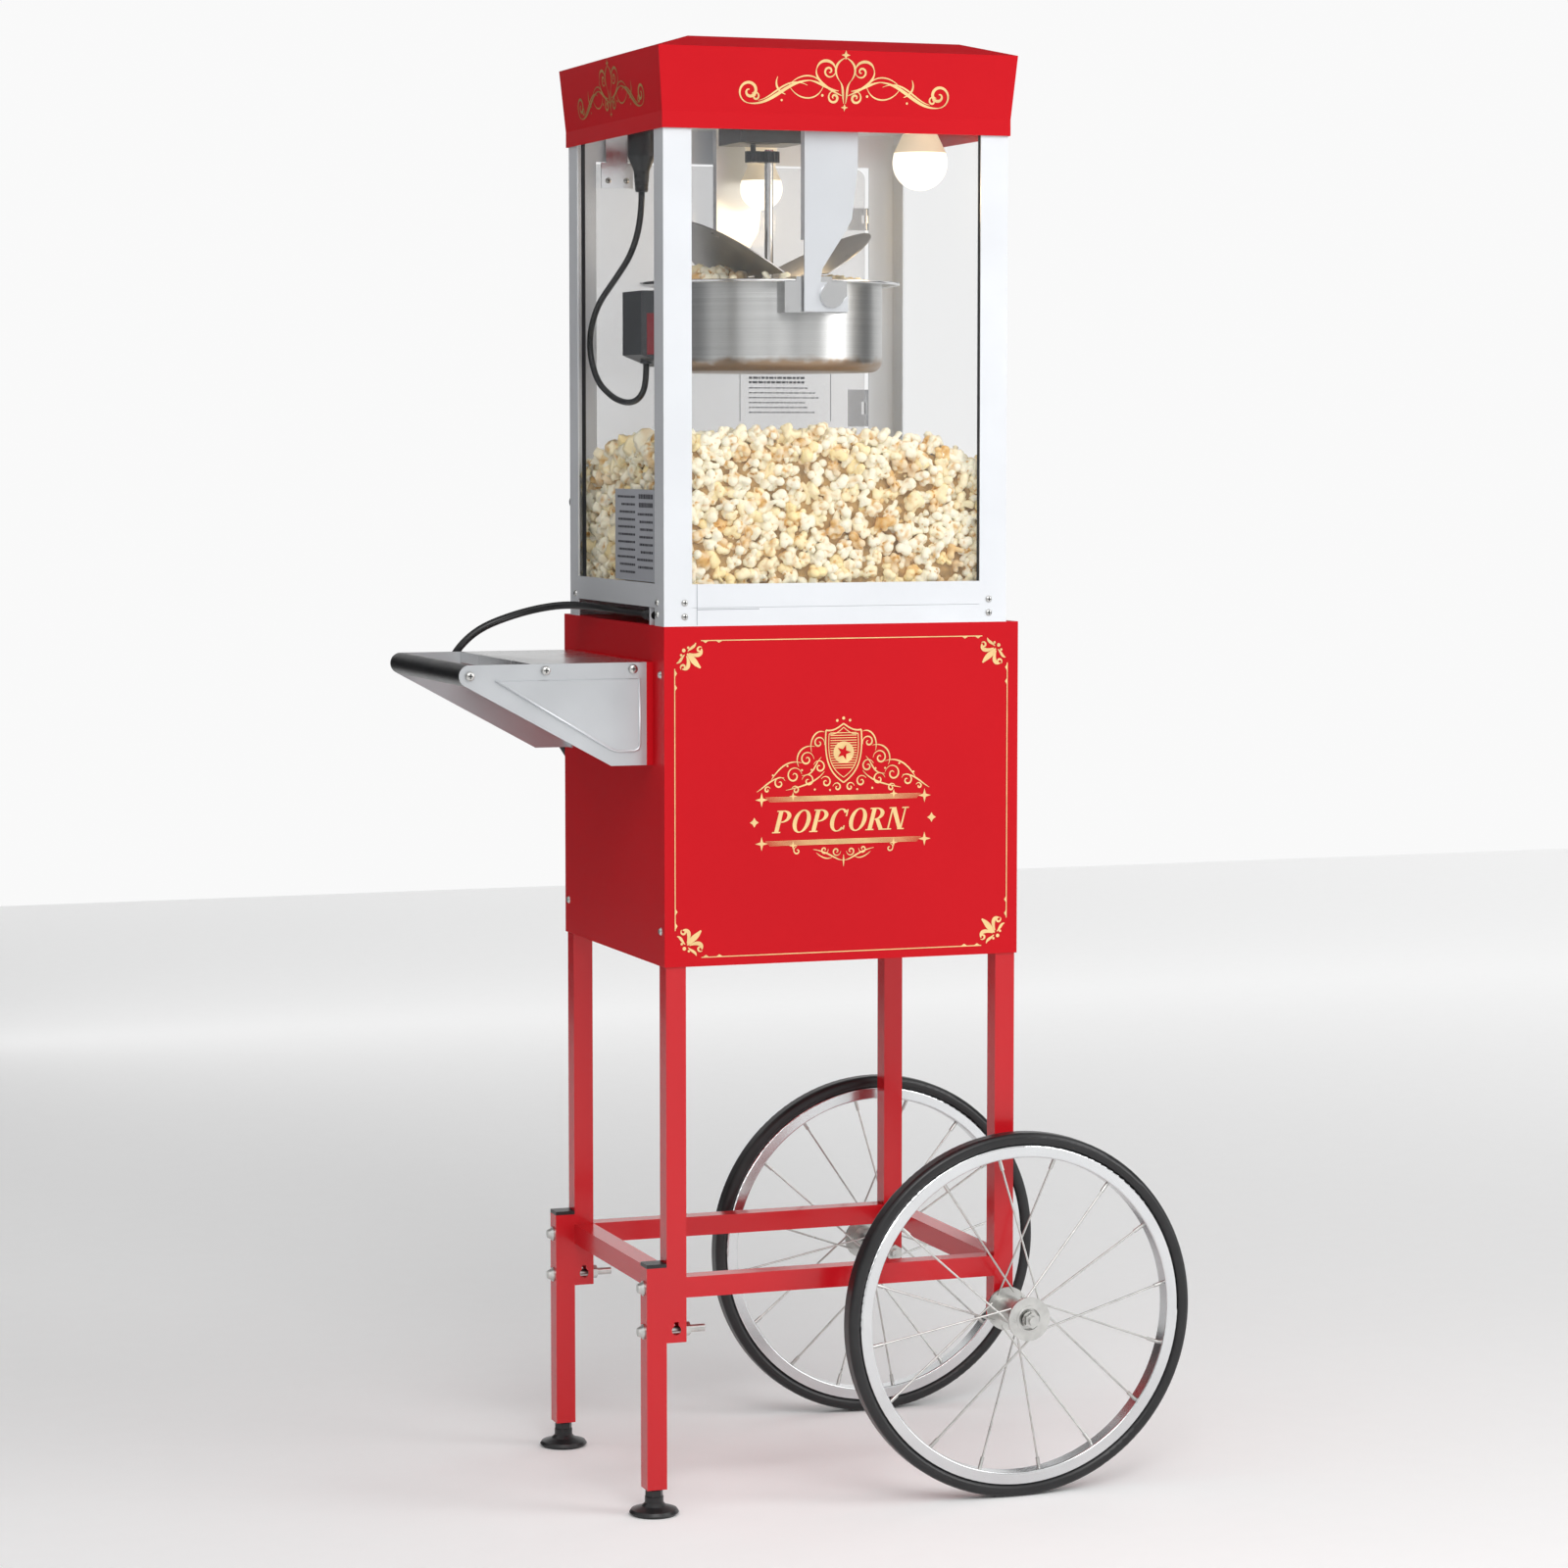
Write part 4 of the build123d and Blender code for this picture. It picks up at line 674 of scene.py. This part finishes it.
def make_kettle_corn():
    """The corn that fills the kettle to its lids."""
    low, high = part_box("kettle_pot")
    axis = ((low.x + high.x) / 2, (low.y + high.y) / 2)
    places = []
    for spot, way in scatter("kettle_popcorn", *KETTLE_LAYER):
        out = np.hypot(spot[0] - axis[0], spot[1] - axis[1])
        pull = min(1.0, KETTLE_CORN_R / max(out, 1e-6))
        spot[0] = axis[0] + (spot[0] - axis[0]) * pull
        spot[1] = axis[1] + (spot[1] - axis[1]) * pull
        places.append((spot, way))
    corn = corn_piece("kettle_corn", places, FINE, "kettle")
    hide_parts("kettle_popcorn")


make_heap()
make_kettle_corn()


# ---- printed ornament ----
INK_STEP = 0.000008
INK_LAYERS = 24


def face_of(node, way, proud=0.0003):
    """A function that lays a point of a drawing on a node's outside, a hair proud of it."""
    mesh = nodes[node].data
    tree = BVHTree.FromPolygons([v.co for v in mesh.vertices], [list(p.vertices) for p in mesh.polygons])

    def lay(u, v, lift=0.0):
        if way == "front":
            start, along = Vector((u, -1.0, v)), Vector((0, 1, 0))
        else:
            start, along = Vector((-1.0, u, v)), Vector((1, 0, 0))
        hit = tree.ray_cast(start, along)[0]
        return (hit if hit else start + along) - along * (proud + lift)
    return lay


def stroke(points, width, taper=True):
    """A drawn line: pairs of edge points along a path, thin at both ends if tapered."""
    left, right = [], []
    n = len(points)
    for i, here in enumerate(points):
        before, after = points[max(i - 1, 0)], points[min(i + 1, n - 1)]
        dx, dy = after[0] - before[0], after[1] - before[1]
        size = max((dx * dx + dy * dy) ** 0.5, 1e-9)
        swell = sin(pi * (0.08 + 0.84 * i / (n - 1))) if taper else 1
        half = width / 2 * swell
        left.append((here[0] - dy / size * half, here[1] + dx / size * half))
        right.append((here[0] + dy / size * half, here[1] - dx / size * half))
    faces = [(i, n + i, n + i + 1, i + 1) for i in range(n - 1)]
    return left + right, faces


def spot(x, y, radius, sides=14):
    """A round dot."""
    turns = [2 * pi * k / sides for k in range(sides)]
    return [(x + radius * cos(a), y + radius * sin(a)) for a in turns], [tuple(range(sides))]


def star(x, y, long, short, points=4):
    """A pointed star, its tips along the axes."""
    ring = []
    for k in range(2 * points):
        r = long if k % 2 == 0 else short
        a = pi * k / points
        ring.append((x + r * cos(a), y + r * sin(a)))
    return [(x, y)] + ring, [(0, k + 1, (k + 1) % (2 * points) + 1) for k in range(2 * points)]


def curl(x, y, radius, start, turns, steps=40, end_radius=0.12):
    """A spiral from its rim inwards."""
    points = []
    for k in range(steps + 1):
        t = k / steps
        r = radius * (1 - t * (1 - end_radius))
        a = start + 2 * pi * turns * t
        points.append((x + r * cos(a), y + r * sin(a)))
    return points


def bezier(a, b, c, d, steps=24):
    """Points along a cubic curve."""
    made = []
    for k in range(steps + 1):
        t = k / steps
        s = 1 - t
        made.append(tuple(s ** 3 * p + 3 * s * s * t * q + 3 * s * t * t * u + t ** 3 * w
                          for p, q, u, w in zip(a, b, c, d)))
    return made


def mirrored(shapes, middle):
    """Drawn shapes and their copies on the other side of an upright line."""
    out = list(shapes)
    for points, faces in shapes:
        out.append(([(2 * middle - x, y) for x, y in points], [tuple(reversed(f)) for f in faces]))
    return out


def print_on(name, shapes, lay, made):
    """Drawn shapes laid on a face as one printed piece, each shape a hair above the one before."""
    points, faces = joined(shapes)
    lifts = [INK_STEP * (k % INK_LAYERS) for k, shape in enumerate(shapes) for _ in shape[0]]
    verts = [lay(u, v, lift) for (u, v), lift in zip(points, lifts)]
    return mesh_piece(name, verts, faces, made, "root", smooth=False)


def scaled(shapes):
    """Drawn shapes in metres from millimetres."""
    return [([(x * MM, y * MM) for x, y in points], faces) for points, faces in shapes]


def scroll_band(middle, base):
    """Flowing scrolls that run out from a heart-shaped middle to curled ends, in millimetres."""
    side = [
        stroke(curl(105.8, 12.4, 12.4, -pi / 2, 1.5), 3.2),
        stroke(curl(99, 7, 5.0, 0.6, 1.2, 24), 2.0),
        stroke(bezier((106, 0), (80, -3), (66, 25), (38, 25)), 3.4),
        stroke(bezier((96, 3), (78, 6), (66, 31), (42, 20)), 1.8),
        stroke(bezier((40, 25), (28, 24), (20, 16), (7, 15)), 2.6),
        stroke(bezier((24, 21), (28, 3), (52, 2), (62, 19)), 1.6),
        stroke(bezier((25, 20), (32, 33), (50, 33), (62, 20)), 1.4),
        stroke(bezier((66, 10), (74, 13), (79, 19), (75, 28)), 2.2),
        stroke(bezier((3, 10), (15, 15), (36, 25), (32, 38)), 2.6),
        stroke(bezier((32, 37), (30, 49), (13, 48), (11, 37)), 3.0),
        stroke(curl(18, 35, 7.0, pi, 1.3, 28), 2.2),
        stroke(bezier((1, 49), (10, 45), (15, 36), (6, 25)), 2.4),
        stroke(bezier((6, 25), (1, 19), (3, 12), (1, 2)), 2.4),
        stroke(curl(12, 8, 7.0, pi / 2, -1.4, 28), 2.6),
        spot(25, 10, 1.4),
        spot(70, 4, 1.2),
    ]
    both = mirrored(side, 0)
    both += [star(0, 52, 5, 1.9), star(0, -2, 4, 1.5)]
    return [([(middle + x, base + y) for x, y in points], faces) for points, faces in both]


CANOPY_PRINT_IN, CANOPY_PRINT_BASE = 11.5, 1486


def make_canopy_print():
    """Scrolls on the canopy's front and on its grip side, the grip side's in a darker gold that is painted
    shade.
    """
    print_on("canopy_front_print", scaled(scroll_band(CANOPY_PRINT_IN, CANOPY_PRINT_BASE)),
             face_of("canopy", "front"), gold)
    print_on("canopy_side_print", scaled(scroll_band(-CANOPY_PRINT_IN, CANOPY_PRINT_BASE)),
             face_of("canopy", "side"), gold_painted_shade)


def resized(shapes, x, y, wide, high):
    """Drawn shapes made wider and higher about a point."""
    return [([(x + (u - x) * wide, y + (v - y) * high) for u, v in points], faces)
            for points, faces in shapes]


def turned(shapes, x, y, angle):
    """Drawn shapes turned about the origin, then moved to x, y."""
    c, n = cos(angle), sin(angle)
    return [([(x + c * u - n * v, y + n * u + c * v) for u, v in points], faces) for points, faces in shapes]


def lily():
    """A corner flower that points along +y: a leaf, two curled petals each side, a band and a dot."""
    shapes = [stroke(bezier((0, 4), (-1, 10), (1, 14), (0, 21), 12), 5.0), spot(0, 0, 1.6)]
    petals = [
        stroke(bezier((1.5, 5), (4, 12), (9, 15), (12, 10), 14), 3.4),
        stroke(curl(10.3, 9.6, 2.6, 0, -0.8, 14, 0.4), 1.8),
        stroke(bezier((2, 3), (7, 3), (9, 5), (12, 3), 12), 2.4),
        spot(4.4, 1.2, 1.1),
    ]
    return mirrored(petals, 0) + shapes


def border_line(x0, y0, x1, y1):
    """A thin line with small wedges near both ends."""
    shapes = [stroke([(x0, y0), (x1, y1)], 1.0, taper=False)]
    dx, dy = (x1 - x0), (y1 - y0)
    long = (dx * dx + dy * dy) ** 0.5
    ux, uy = dx / long, dy / long
    for along in (5, 20, long - 20, long - 5):
        x, y = x0 + ux * along, y0 + uy * along
        wedge = [(x - ux * 4, y - uy * 4), (x + ux * 4, y + uy * 4), (x - uy * 2.6, y + ux * 2.6)]
        shapes.append((wedge, [(0, 1, 2)]))
    return shapes


def bar(x0, x1, y, width):
    """A bar that thins towards both ends."""
    return stroke([(x0 + (x1 - x0) * k / 20, y) for k in range(21)], width)


CAP_HEIGHT, SERIF = 28, 1.5
WORD_LEFT, WORD_BASE = -66, 721
SLANT = 0.22


def bowl(x, y, outer, inner, start, end, steps=22):
    """The shape between two ovals, from one angle to another: thick sides, thin top and bottom."""
    outside, inside = [], []
    for k in range(steps + 1):
        a = radians(start + (end - start) * k / steps)
        outside.append((x + outer[0] * cos(a), y + outer[1] * sin(a)))
        inside.append((x + inner[0] * cos(a), y + inner[1] * sin(a)))
    n = steps + 1
    return outside + inside, [(i, i + 1, n + i + 1, n + i) for i in range(steps)]


def block_shape(x0, y0, x1, y1):
    """A filled rectangle."""
    return [(x0, y0), (x1, y0), (x1, y1), (x0, y1)], [(0, 1, 2, 3)]


def stem(x, width=4.6, foot=9.0):
    """An upright stroke with thin serifs at both ends."""
    left, right = x + width / 2 - foot / 2, x + width / 2 + foot / 2
    return [block_shape(x, 0, x + width, CAP_HEIGHT), block_shape(left, 0, right, SERIF),
            block_shape(left, CAP_HEIGHT - SERIF, right, CAP_HEIGHT)]


def letter_p():
    """Stem and upper bowl."""
    return stem(2) + [bowl(7, 20.4, (9.6, 7.6), (5.2, 6.2), -90, 90)]


def letter_o():
    """A full bowl."""
    return [bowl(10, 14, (9.6, 14.4), (5.0, 12.9), 0, 360, 40)]


def letter_c():
    """An open bowl with two small beaks."""
    return [bowl(10.5, 14, (9.8, 14.4), (5.2, 12.9), 42, 318, 34), block_shape(16.6, 18.5, 18.2, 27),
            block_shape(16.6, 2, 18.2, 7)]


def letter_r():
    """The P with a leg."""
    leg = ([(8, 13.4), (12.4, 13.4), (19.6, 0), (14.6, 0)], [(0, 1, 2, 3)])
    return letter_p() + [leg, block_shape(14.6, 0, 21.6, SERIF)]


def letter_n():
    """Two thin stems and a thick slope."""
    slope = ([(1.6, 28), (6.8, 28), (19, 0), (14.6, 0)], [(0, 1, 2, 3)])
    return stem(2.4, width=1.8, foot=7.5) + stem(16.6, width=1.8, foot=7.5) + [slope]


def word_shapes():
    """The plain word for the food, in upright-stressed slanted capitals."""
    shapes = []
    x = WORD_LEFT
    for letter in (letter_p, letter_o, letter_p, letter_c, letter_o, letter_r, letter_n):
        for points, faces in letter():
            shapes.append(([(x + u + SLANT * v, WORD_BASE + v) for u, v in points], faces))
        x += 21.4 if letter is not letter_p else 19.6
    return shapes


PRINT_MIDDLE = 13
PRINT_LEFT, PRINT_RIGHT, PRINT_LOW, PRINT_HIGH = -175.5, 200.5, 594.5, 928
CORNER_GAP = 29
FLOWER_IN, FLOWER_SCALE = 10, 1.25
WORD_MIDDLE = 735
BADGE_HEIGHT = 807
BARS = (760, 711)


def border_shapes():
    """The thin frame and its four corner flowers."""
    x0, x1, y0, y1 = PRINT_LEFT, PRINT_RIGHT, PRINT_LOW, PRINT_HIGH
    shapes = []
    shapes += border_line(x0 + CORNER_GAP, y0, x1 - CORNER_GAP, y0)
    shapes += border_line(x1 - CORNER_GAP, y1, x0 + CORNER_GAP, y1)
    shapes += border_line(x1, y0 + CORNER_GAP, x1, y1 - CORNER_GAP)
    shapes += border_line(x0, y1 - CORNER_GAP, x0, y0 + CORNER_GAP)
    flower = resized(lily(), 0, 0, FLOWER_SCALE, FLOWER_SCALE)
    for x, y, angle in ((x0 + FLOWER_IN, y0 + FLOWER_IN, -45), (x1 - FLOWER_IN, y0 + FLOWER_IN, 45),
                        (x1 - FLOWER_IN, y1 - FLOWER_IN, 135), (x0 + FLOWER_IN, y1 - FLOWER_IN, -135)):
        shapes += turned(flower, x, y, radians(angle))
    return shapes


def bar_shapes():
    """The lined bars above and below the word, with stars at their ends."""
    shapes = []
    for y in BARS:
        for step in (-2.4, -1.2, 0, 1.2, 2.4):
            shapes.append(bar(-82 - step, 108 + step, y + step, 0.9))
        for x in (-89, 115):
            shapes.append(star(x, y, 8, 2.4))
        for x in (-50, 76):
            shapes.append(star(x, y + (3 if y > WORD_MIDDLE else -3), 5, 1.6))
    for x in (-98, 124):
        shapes.append(star(x, WORD_MIDDLE, 5.5, 3.0))
    return shapes


def shield_half():
    """The right half of the plain shield: two outlines, fine lines across it and a dot above."""
    half = []
    for inset, width in ((0.0, 1.7), (4.2, 1.0)):
        k = 1 - inset / 24
        shoulder = (22 * k, 836 - inset)
        half.append(stroke(bezier((0, 777 + inset * 1.4), (16 * k, 787 + inset), (25 * k, 800), shoulder, 22),
                           width, taper=False))
        top = (0, 843 - inset)
        half.append(stroke(bezier(shoulder, (14 * k, 834 - inset), (7 * k, 838 - inset), top, 12), width,
                           taper=False))
    for row in range(15):
        y = 793 + 2.8 * row
        reach = 16.5 * (1 - (max(0, 806 - y) / 34) ** 1.4)
        half.append(block_shape(0, y, reach, y + 0.9))
    half.append(spot(8, 846.5, 1.6))
    return half


def scrolls_half():
    """The right half of the scrolls beside the shield and under the lower bar."""
    half = []
    for x, y, r, start, turns in (
            (31, 822, 7.5, 200, -1.3), (46, 804, 9.0, 180, -1.4), (30, 795, 8.0, 20, 1.3),
            (62, 786, 10.0, 170, -1.4), (44, 780, 8.0, 10, 1.3), (22, 778, 7.0, 30, 1.3),
            (80, 778, 7.5, 160, -1.3), (8, 772, 5.5, 10, 1.2), (95, 771, 4.0, 160, -1.1),
            (60, 770, 5.0, 20, 1.2)):
        half.append(stroke(curl(x, y, r, radians(start), turns, 34), 1.9))
    for ends in (
            ((24, 834), (34, 838), (44, 826), (40, 812)), ((36, 818), (54, 822), (62, 806), (56, 796)),
            ((52, 800), (72, 806), (84, 790), (90, 782)), ((24, 790), (34, 778), (50, 774), (72, 770)),
            ((74, 784), (88, 786), (98, 774), (108, 769)), ((28, 806), (38, 796), (36, 786), (52, 786))):
        half.append(stroke(bezier(*ends), 1.8))
    for x, y in ((36, 770), (17, 769), (52, 792), (40, 792), (70, 797), (88, 787)):
        half.append(spot(x, y, 1.2))
    for x, y, r, start, turns in (
            (9, 700, 5.5, 180, 1.3), (24, 702, 5.0, 170, 1.2), (58, 702, 5.0, 90, -1.1)):
        half.append(stroke(curl(x, y, r, radians(start), turns, 26), 1.7))
    half.append(stroke(bezier((1, 690), (10, 690), (18, 700), (38, 703)), 1.8))
    half.append(stroke(bezier((14, 694), (20, 690), (28, 694), (34, 699)), 1.4))
    return half


def make_cabinet_print():
    """Border, plain shield, scrolls, bars and the word on the storage cabinet's front."""
    shapes = bar_shapes() + turned(mirrored(shield_half() + scrolls_half(), 0), PRINT_MIDDLE, 0, 0)
    shapes.append(spot(PRINT_MIDDLE, 849, 1.8))
    shapes.append(stroke([(PRINT_MIDDLE, y) for y in (696, 690, 683)], 2.2))
    shapes = border_shapes() + resized(shapes, PRINT_MIDDLE, WORD_MIDDLE, 0.905, 0.95)
    print_on("cabinet_print", scaled(shapes), face_of("cabinet_front_panel", "front"), gold)
    badge = [spot(PRINT_MIDDLE, BADGE_HEIGHT, 11.6, 40)]
    print_on("cabinet_badge", scaled(badge), face_of("cabinet_front_panel", "front", 0.0006), gold)
    mark = [star(PRINT_MIDDLE, BADGE_HEIGHT, 8.4, 3.4, points=5)]
    print_on("cabinet_badge_star", scaled(mark), face_of("cabinet_front_panel", "front", 0.0009), red_paint)
    word = resized(word_shapes(), PRINT_MIDDLE, WORD_MIDDLE, 1.02, 0.85)
    print_on("cabinet_word", scaled(word), face_of("cabinet_front_panel", "front"), gold)


RAIL_SEAMS = (-151, 178.5, 944, 960, 987)
SEAM_WIDE, SEAM_HIGH = 0.7, 0.8


def make_rail_seams():
    """The dark joints between the posts, the upper bar and the lower bar under the front pane."""
    left, right, low, middle, high = RAIL_SEAMS
    seams = [block_shape(left, low, left + SEAM_WIDE, high), block_shape(right, low, right + SEAM_WIDE, high),
             block_shape(left, middle, right, middle + SEAM_HIGH)]
    print_on("rail_seams", scaled(seams), face_of("lower_rails", "front"), label_grey)


make_canopy_print()
make_cabinet_print()
make_rail_seams()


# ---- small fittings ----
SCREW_R, BIG_SCREW_R, CATCH_SCREW_R = 0.0036, 0.0048, 0.0032
POST_SCREWS_X, POST_SCREWS_FRONT_Z = (-0.1643, 0.1787), (0.9675, 0.9530)
POST_SCREWS_Y, POST_SCREWS_SIDE_Z = (-0.1565, 0.1345), (0.9675, 0.9550)
BRACKET_SCREWS = ((-0.209, 0.8975), (-0.3045, 0.8975), (-0.3865, 0.8930))
CATCH_SCREWS_X, CATCH_SCREWS_Z = (-0.144, -0.123), 1.4235
patch_red = material("patch_red", (0.22, 0.012, 0.02), rough=0.4, vary=0.1, grain=30, bump=0.05)
# Near-black for the screws' cross recesses: painted shade of the hollows.
recess = material("screw_recess_painted_shade", (0.05, 0.05, 0.05), rough=0.6, vary=0.3, grain=300, bump=0.1)


def screw(name, place, way, radius=SCREW_R):
    """A pan-head screw with a cross recess drawn as a near-black cross of painted shade, its head facing
    along an axis with a sign, such as -y.
    """
    sign = -1 if way[0] == "-" else 1
    axis = way[1]
    dome = [(0.0001, 0.0021), (radius * 0.45, 0.0020), (radius * 0.80, 0.0015), (radius, 0.0006),
            (radius, -0.0004)]
    verts, faces = lathe([(r, sign * h) for r, h in dome], place, axis, 28)
    mesh_piece(name, verts, faces, zinc, "root")
    arm, thin = radius * 0.55, radius * 0.13
    flat = {"y": (0, 2), "x": (1, 2), "z": (0, 1)}[axis]
    k = "xyz".index(axis)
    slots = []
    for sizes in ((arm, thin), (thin, arm)):
        low, high = list(place), list(place)
        for index, size in zip(flat, sizes):
            low[index] -= size
            high[index] += size
        low[k] += sign * 0.0018
        high[k] += sign * 0.00225
        slots.append(box_mesh([min(a, b) for a, b in zip(low, high)], [max(a, b) for a, b in zip(low, high)]))
    verts, faces = joined(slots)
    # The cross is a near-black block on the head, painted shade standing for the recess.
    mesh_piece(name + "_cross", verts, faces, recess, "root", smooth=False)


def make_screws():
    """Screws of the posts' feet, the shelf brackets and the door catch."""
    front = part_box("lower_rails")[0].y
    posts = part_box("corner_posts")
    for i, x in enumerate(POST_SCREWS_X):
        for j, z in enumerate(POST_SCREWS_FRONT_Z):
            screw(f"post_screw_front_{i}{j}", (x, front, z), "-y")
    for i, y in enumerate(POST_SCREWS_Y):
        for j, z in enumerate(POST_SCREWS_SIDE_Z):
            screw(f"post_screw_left_{i}{j}", (posts[0].x, y, z), "-x")
            screw(f"post_screw_right_{i}{j}", (posts[1].x, y, z), "+x")
    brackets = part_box("shelf_brackets")
    for i, (x, z) in enumerate(BRACKET_SCREWS):
        screw(f"bracket_screw_front_{i}", (x, brackets[0].y, z), "-y", BIG_SCREW_R)
        screw(f"bracket_screw_rear_{i}", (x, brackets[1].y, z), "+y", BIG_SCREW_R)
    catch_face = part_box("door_catch")[0].y
    for i, x in enumerate(CATCH_SCREWS_X):
        screw(f"catch_screw_{i}", (x, catch_face, CATCH_SCREWS_Z), "-y", CATCH_SCREW_R)


def plain_block(name, low, high, made, body="root", edge=0.0004):
    """A small moulded block with softened edges."""
    verts, faces = box_mesh(low, high)
    piece = mesh_piece(name, verts, faces, made, body, smooth=False)
    add_bevel(piece, edge)
    return piece


LEFT_GASKET_Y, FRONT_GASKET_X = (0.0985, 0.1120), (0.1650, 0.1678)


def make_gaskets():
    """Black sealing strips beside the panes."""
    low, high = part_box("glass_panes")
    plain_block("gasket_left_rear", (low.x - 0.0006, LEFT_GASKET_Y[0], low.z),
                (low.x - 0.0001, LEFT_GASKET_Y[1], high.z), black_rubber)
    plain_block("gasket_front_right", (FRONT_GASKET_X[0], low.y - 0.0010, low.z),
                (FRONT_GASKET_X[1], low.y - 0.0001, high.z), black_rubber)


def text_rows(x0, x1, top, rows, pitch, height, seed):
    """Rows of short bars that stand for print too small to read."""
    pick = np.random.default_rng(seed)
    shapes = []
    for row in range(rows):
        x, y = x0, top - row * pitch
        end = x1 - pick.random() * 0.25 * (x1 - x0)
        while x < end:
            word = pick.uniform(1.5, 6.0)
            shapes.append(block_shape(x, y - height, min(x + word, end), y))
            x += word + 1.1
    return shapes


LABEL_Y, LABEL_Z = (-0.1440, -0.0080), (0.9880, 1.0850)


def make_labels():
    """A grey plate on the grip side's pane and notes on the rear door, their print only bars."""
    pane_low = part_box("glass_panes")[0]
    plain_block("side_label", (pane_low.x - 0.0004, LABEL_Y[0], LABEL_Z[0]),
                (pane_low.x - 0.0001, LABEL_Y[1], LABEL_Z[1]), label_grey, edge=0.00005)
    rows = text_rows(-139, -84, 1080, 2, 9, 5, 1) + text_rows(-139, -84, 1060, 8, 8, 2.6, 2)
    rows += text_rows(-78, -16, 1078, 11, 8, 2.4, 3)
    points, faces = joined(scaled(rows))
    mesh_piece("side_label_print", [(pane_low.x - 0.0006, u, v) for u, v in points], faces, ink, "root",
               smooth=False)
    door_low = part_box("popper_door")[0]
    rows = text_rows(24, 112, 1208, 2, 5, 2.4, 4) + text_rows(24, 112, 1196, 6, 5.5, 1.2, 5)
    for x in (13, 122):
        rows.append(block_shape(x, 1158, x + 0.7, 1213))
    points, faces = joined(scaled(rows))
    mesh_piece("door_notes", [(u, door_low.y - 0.0003, v) for u, v in points], faces, ink, "door",
               smooth=False)


BEAD_R = 0.0014
BEAD_BEND = 0.006
BEAD_CORNERS = ((-0.3588, 0.888), (-0.2303, 0.8115), (-0.202, 0.8115), (-0.202, 0.888))


def make_bracket_beads():
    """The raised bead pressed round the edge of each shelf bracket's side."""
    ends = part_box("shelf_brackets")
    for name, y in (("front", ends[0].y), ("rear", ends[1].y)):
        corners = [Vector((x, y, z)) for x, z in BEAD_CORNERS]
        path = corners[:1]
        for before, bend, after in zip(corners, corners[1:], corners[2:]):
            back = (before - bend).normalized() * BEAD_BEND
            on = (after - bend).normalized() * BEAD_BEND
            path += [bend + back, bend + back * 0.3 + on * 0.3, bend + on]
        path += corners[-1:]
        verts, faces = tube(path, BEAD_R, 12)
        mesh_piece(f"bracket_bead_{name}", verts, faces, shelf_steel, "root")


PATCH_X, PATCH_Z = (0.006, 0.028), (0.012, 0.056)


def make_terminal_patch():
    """A plain dark red plate on the terminal box."""
    low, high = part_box("terminal_box")
    plain_block("terminal_patch", (low.x + PATCH_X[0], low.y - 0.0006, low.z + PATCH_Z[0]),
                (low.x + PATCH_X[1], low.y + 0.0002, low.z + PATCH_Z[1]), patch_red, "kettle")


RIGHT_COLLAR_Z, REAR_COLLAR_Z = 1.4430, 1.4220
BETWEEN_LAMPS_X = 0.07


def make_lamp_collars():
    """Cream collars over the upper part of both globes, with a painted glow of the globes' light."""
    source = nodes["bulbs"].data
    normals = [v.normal.copy() for v in source.vertices]
    verts = [v.co + n * 0.0005 for v, n in zip(source.vertices, normals)]
    faces = []
    for polygon in source.polygons:
        centre = polygon.center
        line = RIGHT_COLLAR_Z if centre.x > BETWEEN_LAMPS_X else REAR_COLLAR_Z
        if all(source.vertices[i].co.z > line for i in polygon.vertices):
            faces.append(tuple(polygon.vertices))
    used = sorted({i for face in faces for i in face})
    renumbered = {old: new for new, old in enumerate(used)}
    mesh_piece("lamp_collars", [verts[i] for i in used],
               [tuple(renumbered[i] for i in face) for face in faces], holder_cream, "root")


KETTLE_RIM_R = 0.1405


def make_kettle_rim():
    """The kettle's rolled edge."""
    low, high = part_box("kettle_pot")
    centre = ((low.x + high.x) / 2, (low.y + high.y) / 2, 0)
    r = 0.0016
    turns = [2 * pi * k / 12 for k in range(13)]
    roll = [(KETTLE_RIM_R + r * cos(a), high.z - r * 0.6 + r * sin(a)) for a in turns]
    verts, faces = lathe(roll, centre, "z", 96)
    mesh_piece("kettle_rim_roll", verts, faces, chrome, "kettle")


def rib(radius, along, root, tip, centre, axis):
    """One ring along an axis, with half its width at the root and at the tip."""
    profile = [(radius - 0.001, along - root), (radius, along - tip), (radius, along + tip),
               (radius - 0.001, along + root)]
    return lathe(profile, centre, axis, 28)


def make_plug_ribs():
    """Grip ribs round the kettle plug's neck."""
    x, y = KETTLE_ROUTE[0][:2]
    rings = [rib(0.0073 + 0.00028 * k, 1.4050 + 0.0042 * k, 0.0012, 0.0007, (x, y, 0), "z")
             for k in range(5)]
    verts, faces = joined(rings)
    mesh_piece("kettle_plug_ribs", verts, faces, black_rubber, "root")


def make_relief_ribs():
    """Grooved rings along the strain relief where the mains lead leaves."""
    low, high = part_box("strain_relief")
    centre = ((low.x + high.x) / 2, 0, (low.z + high.z) / 2)
    rings = [rib(0.0072 - 0.00024 * k, -0.1225 + 0.0036 * k, 0.0010, 0.0006, centre, "y") for k in range(6)]
    verts, faces = joined(rings)
    mesh_piece("strain_relief_ribs", verts, faces, black_rubber, "root")


make_screws()
make_gaskets()
make_labels()
make_bracket_beads()
make_terminal_patch()
make_lamp_collars()
make_kettle_rim()
make_plug_ribs()
make_relief_ribs()
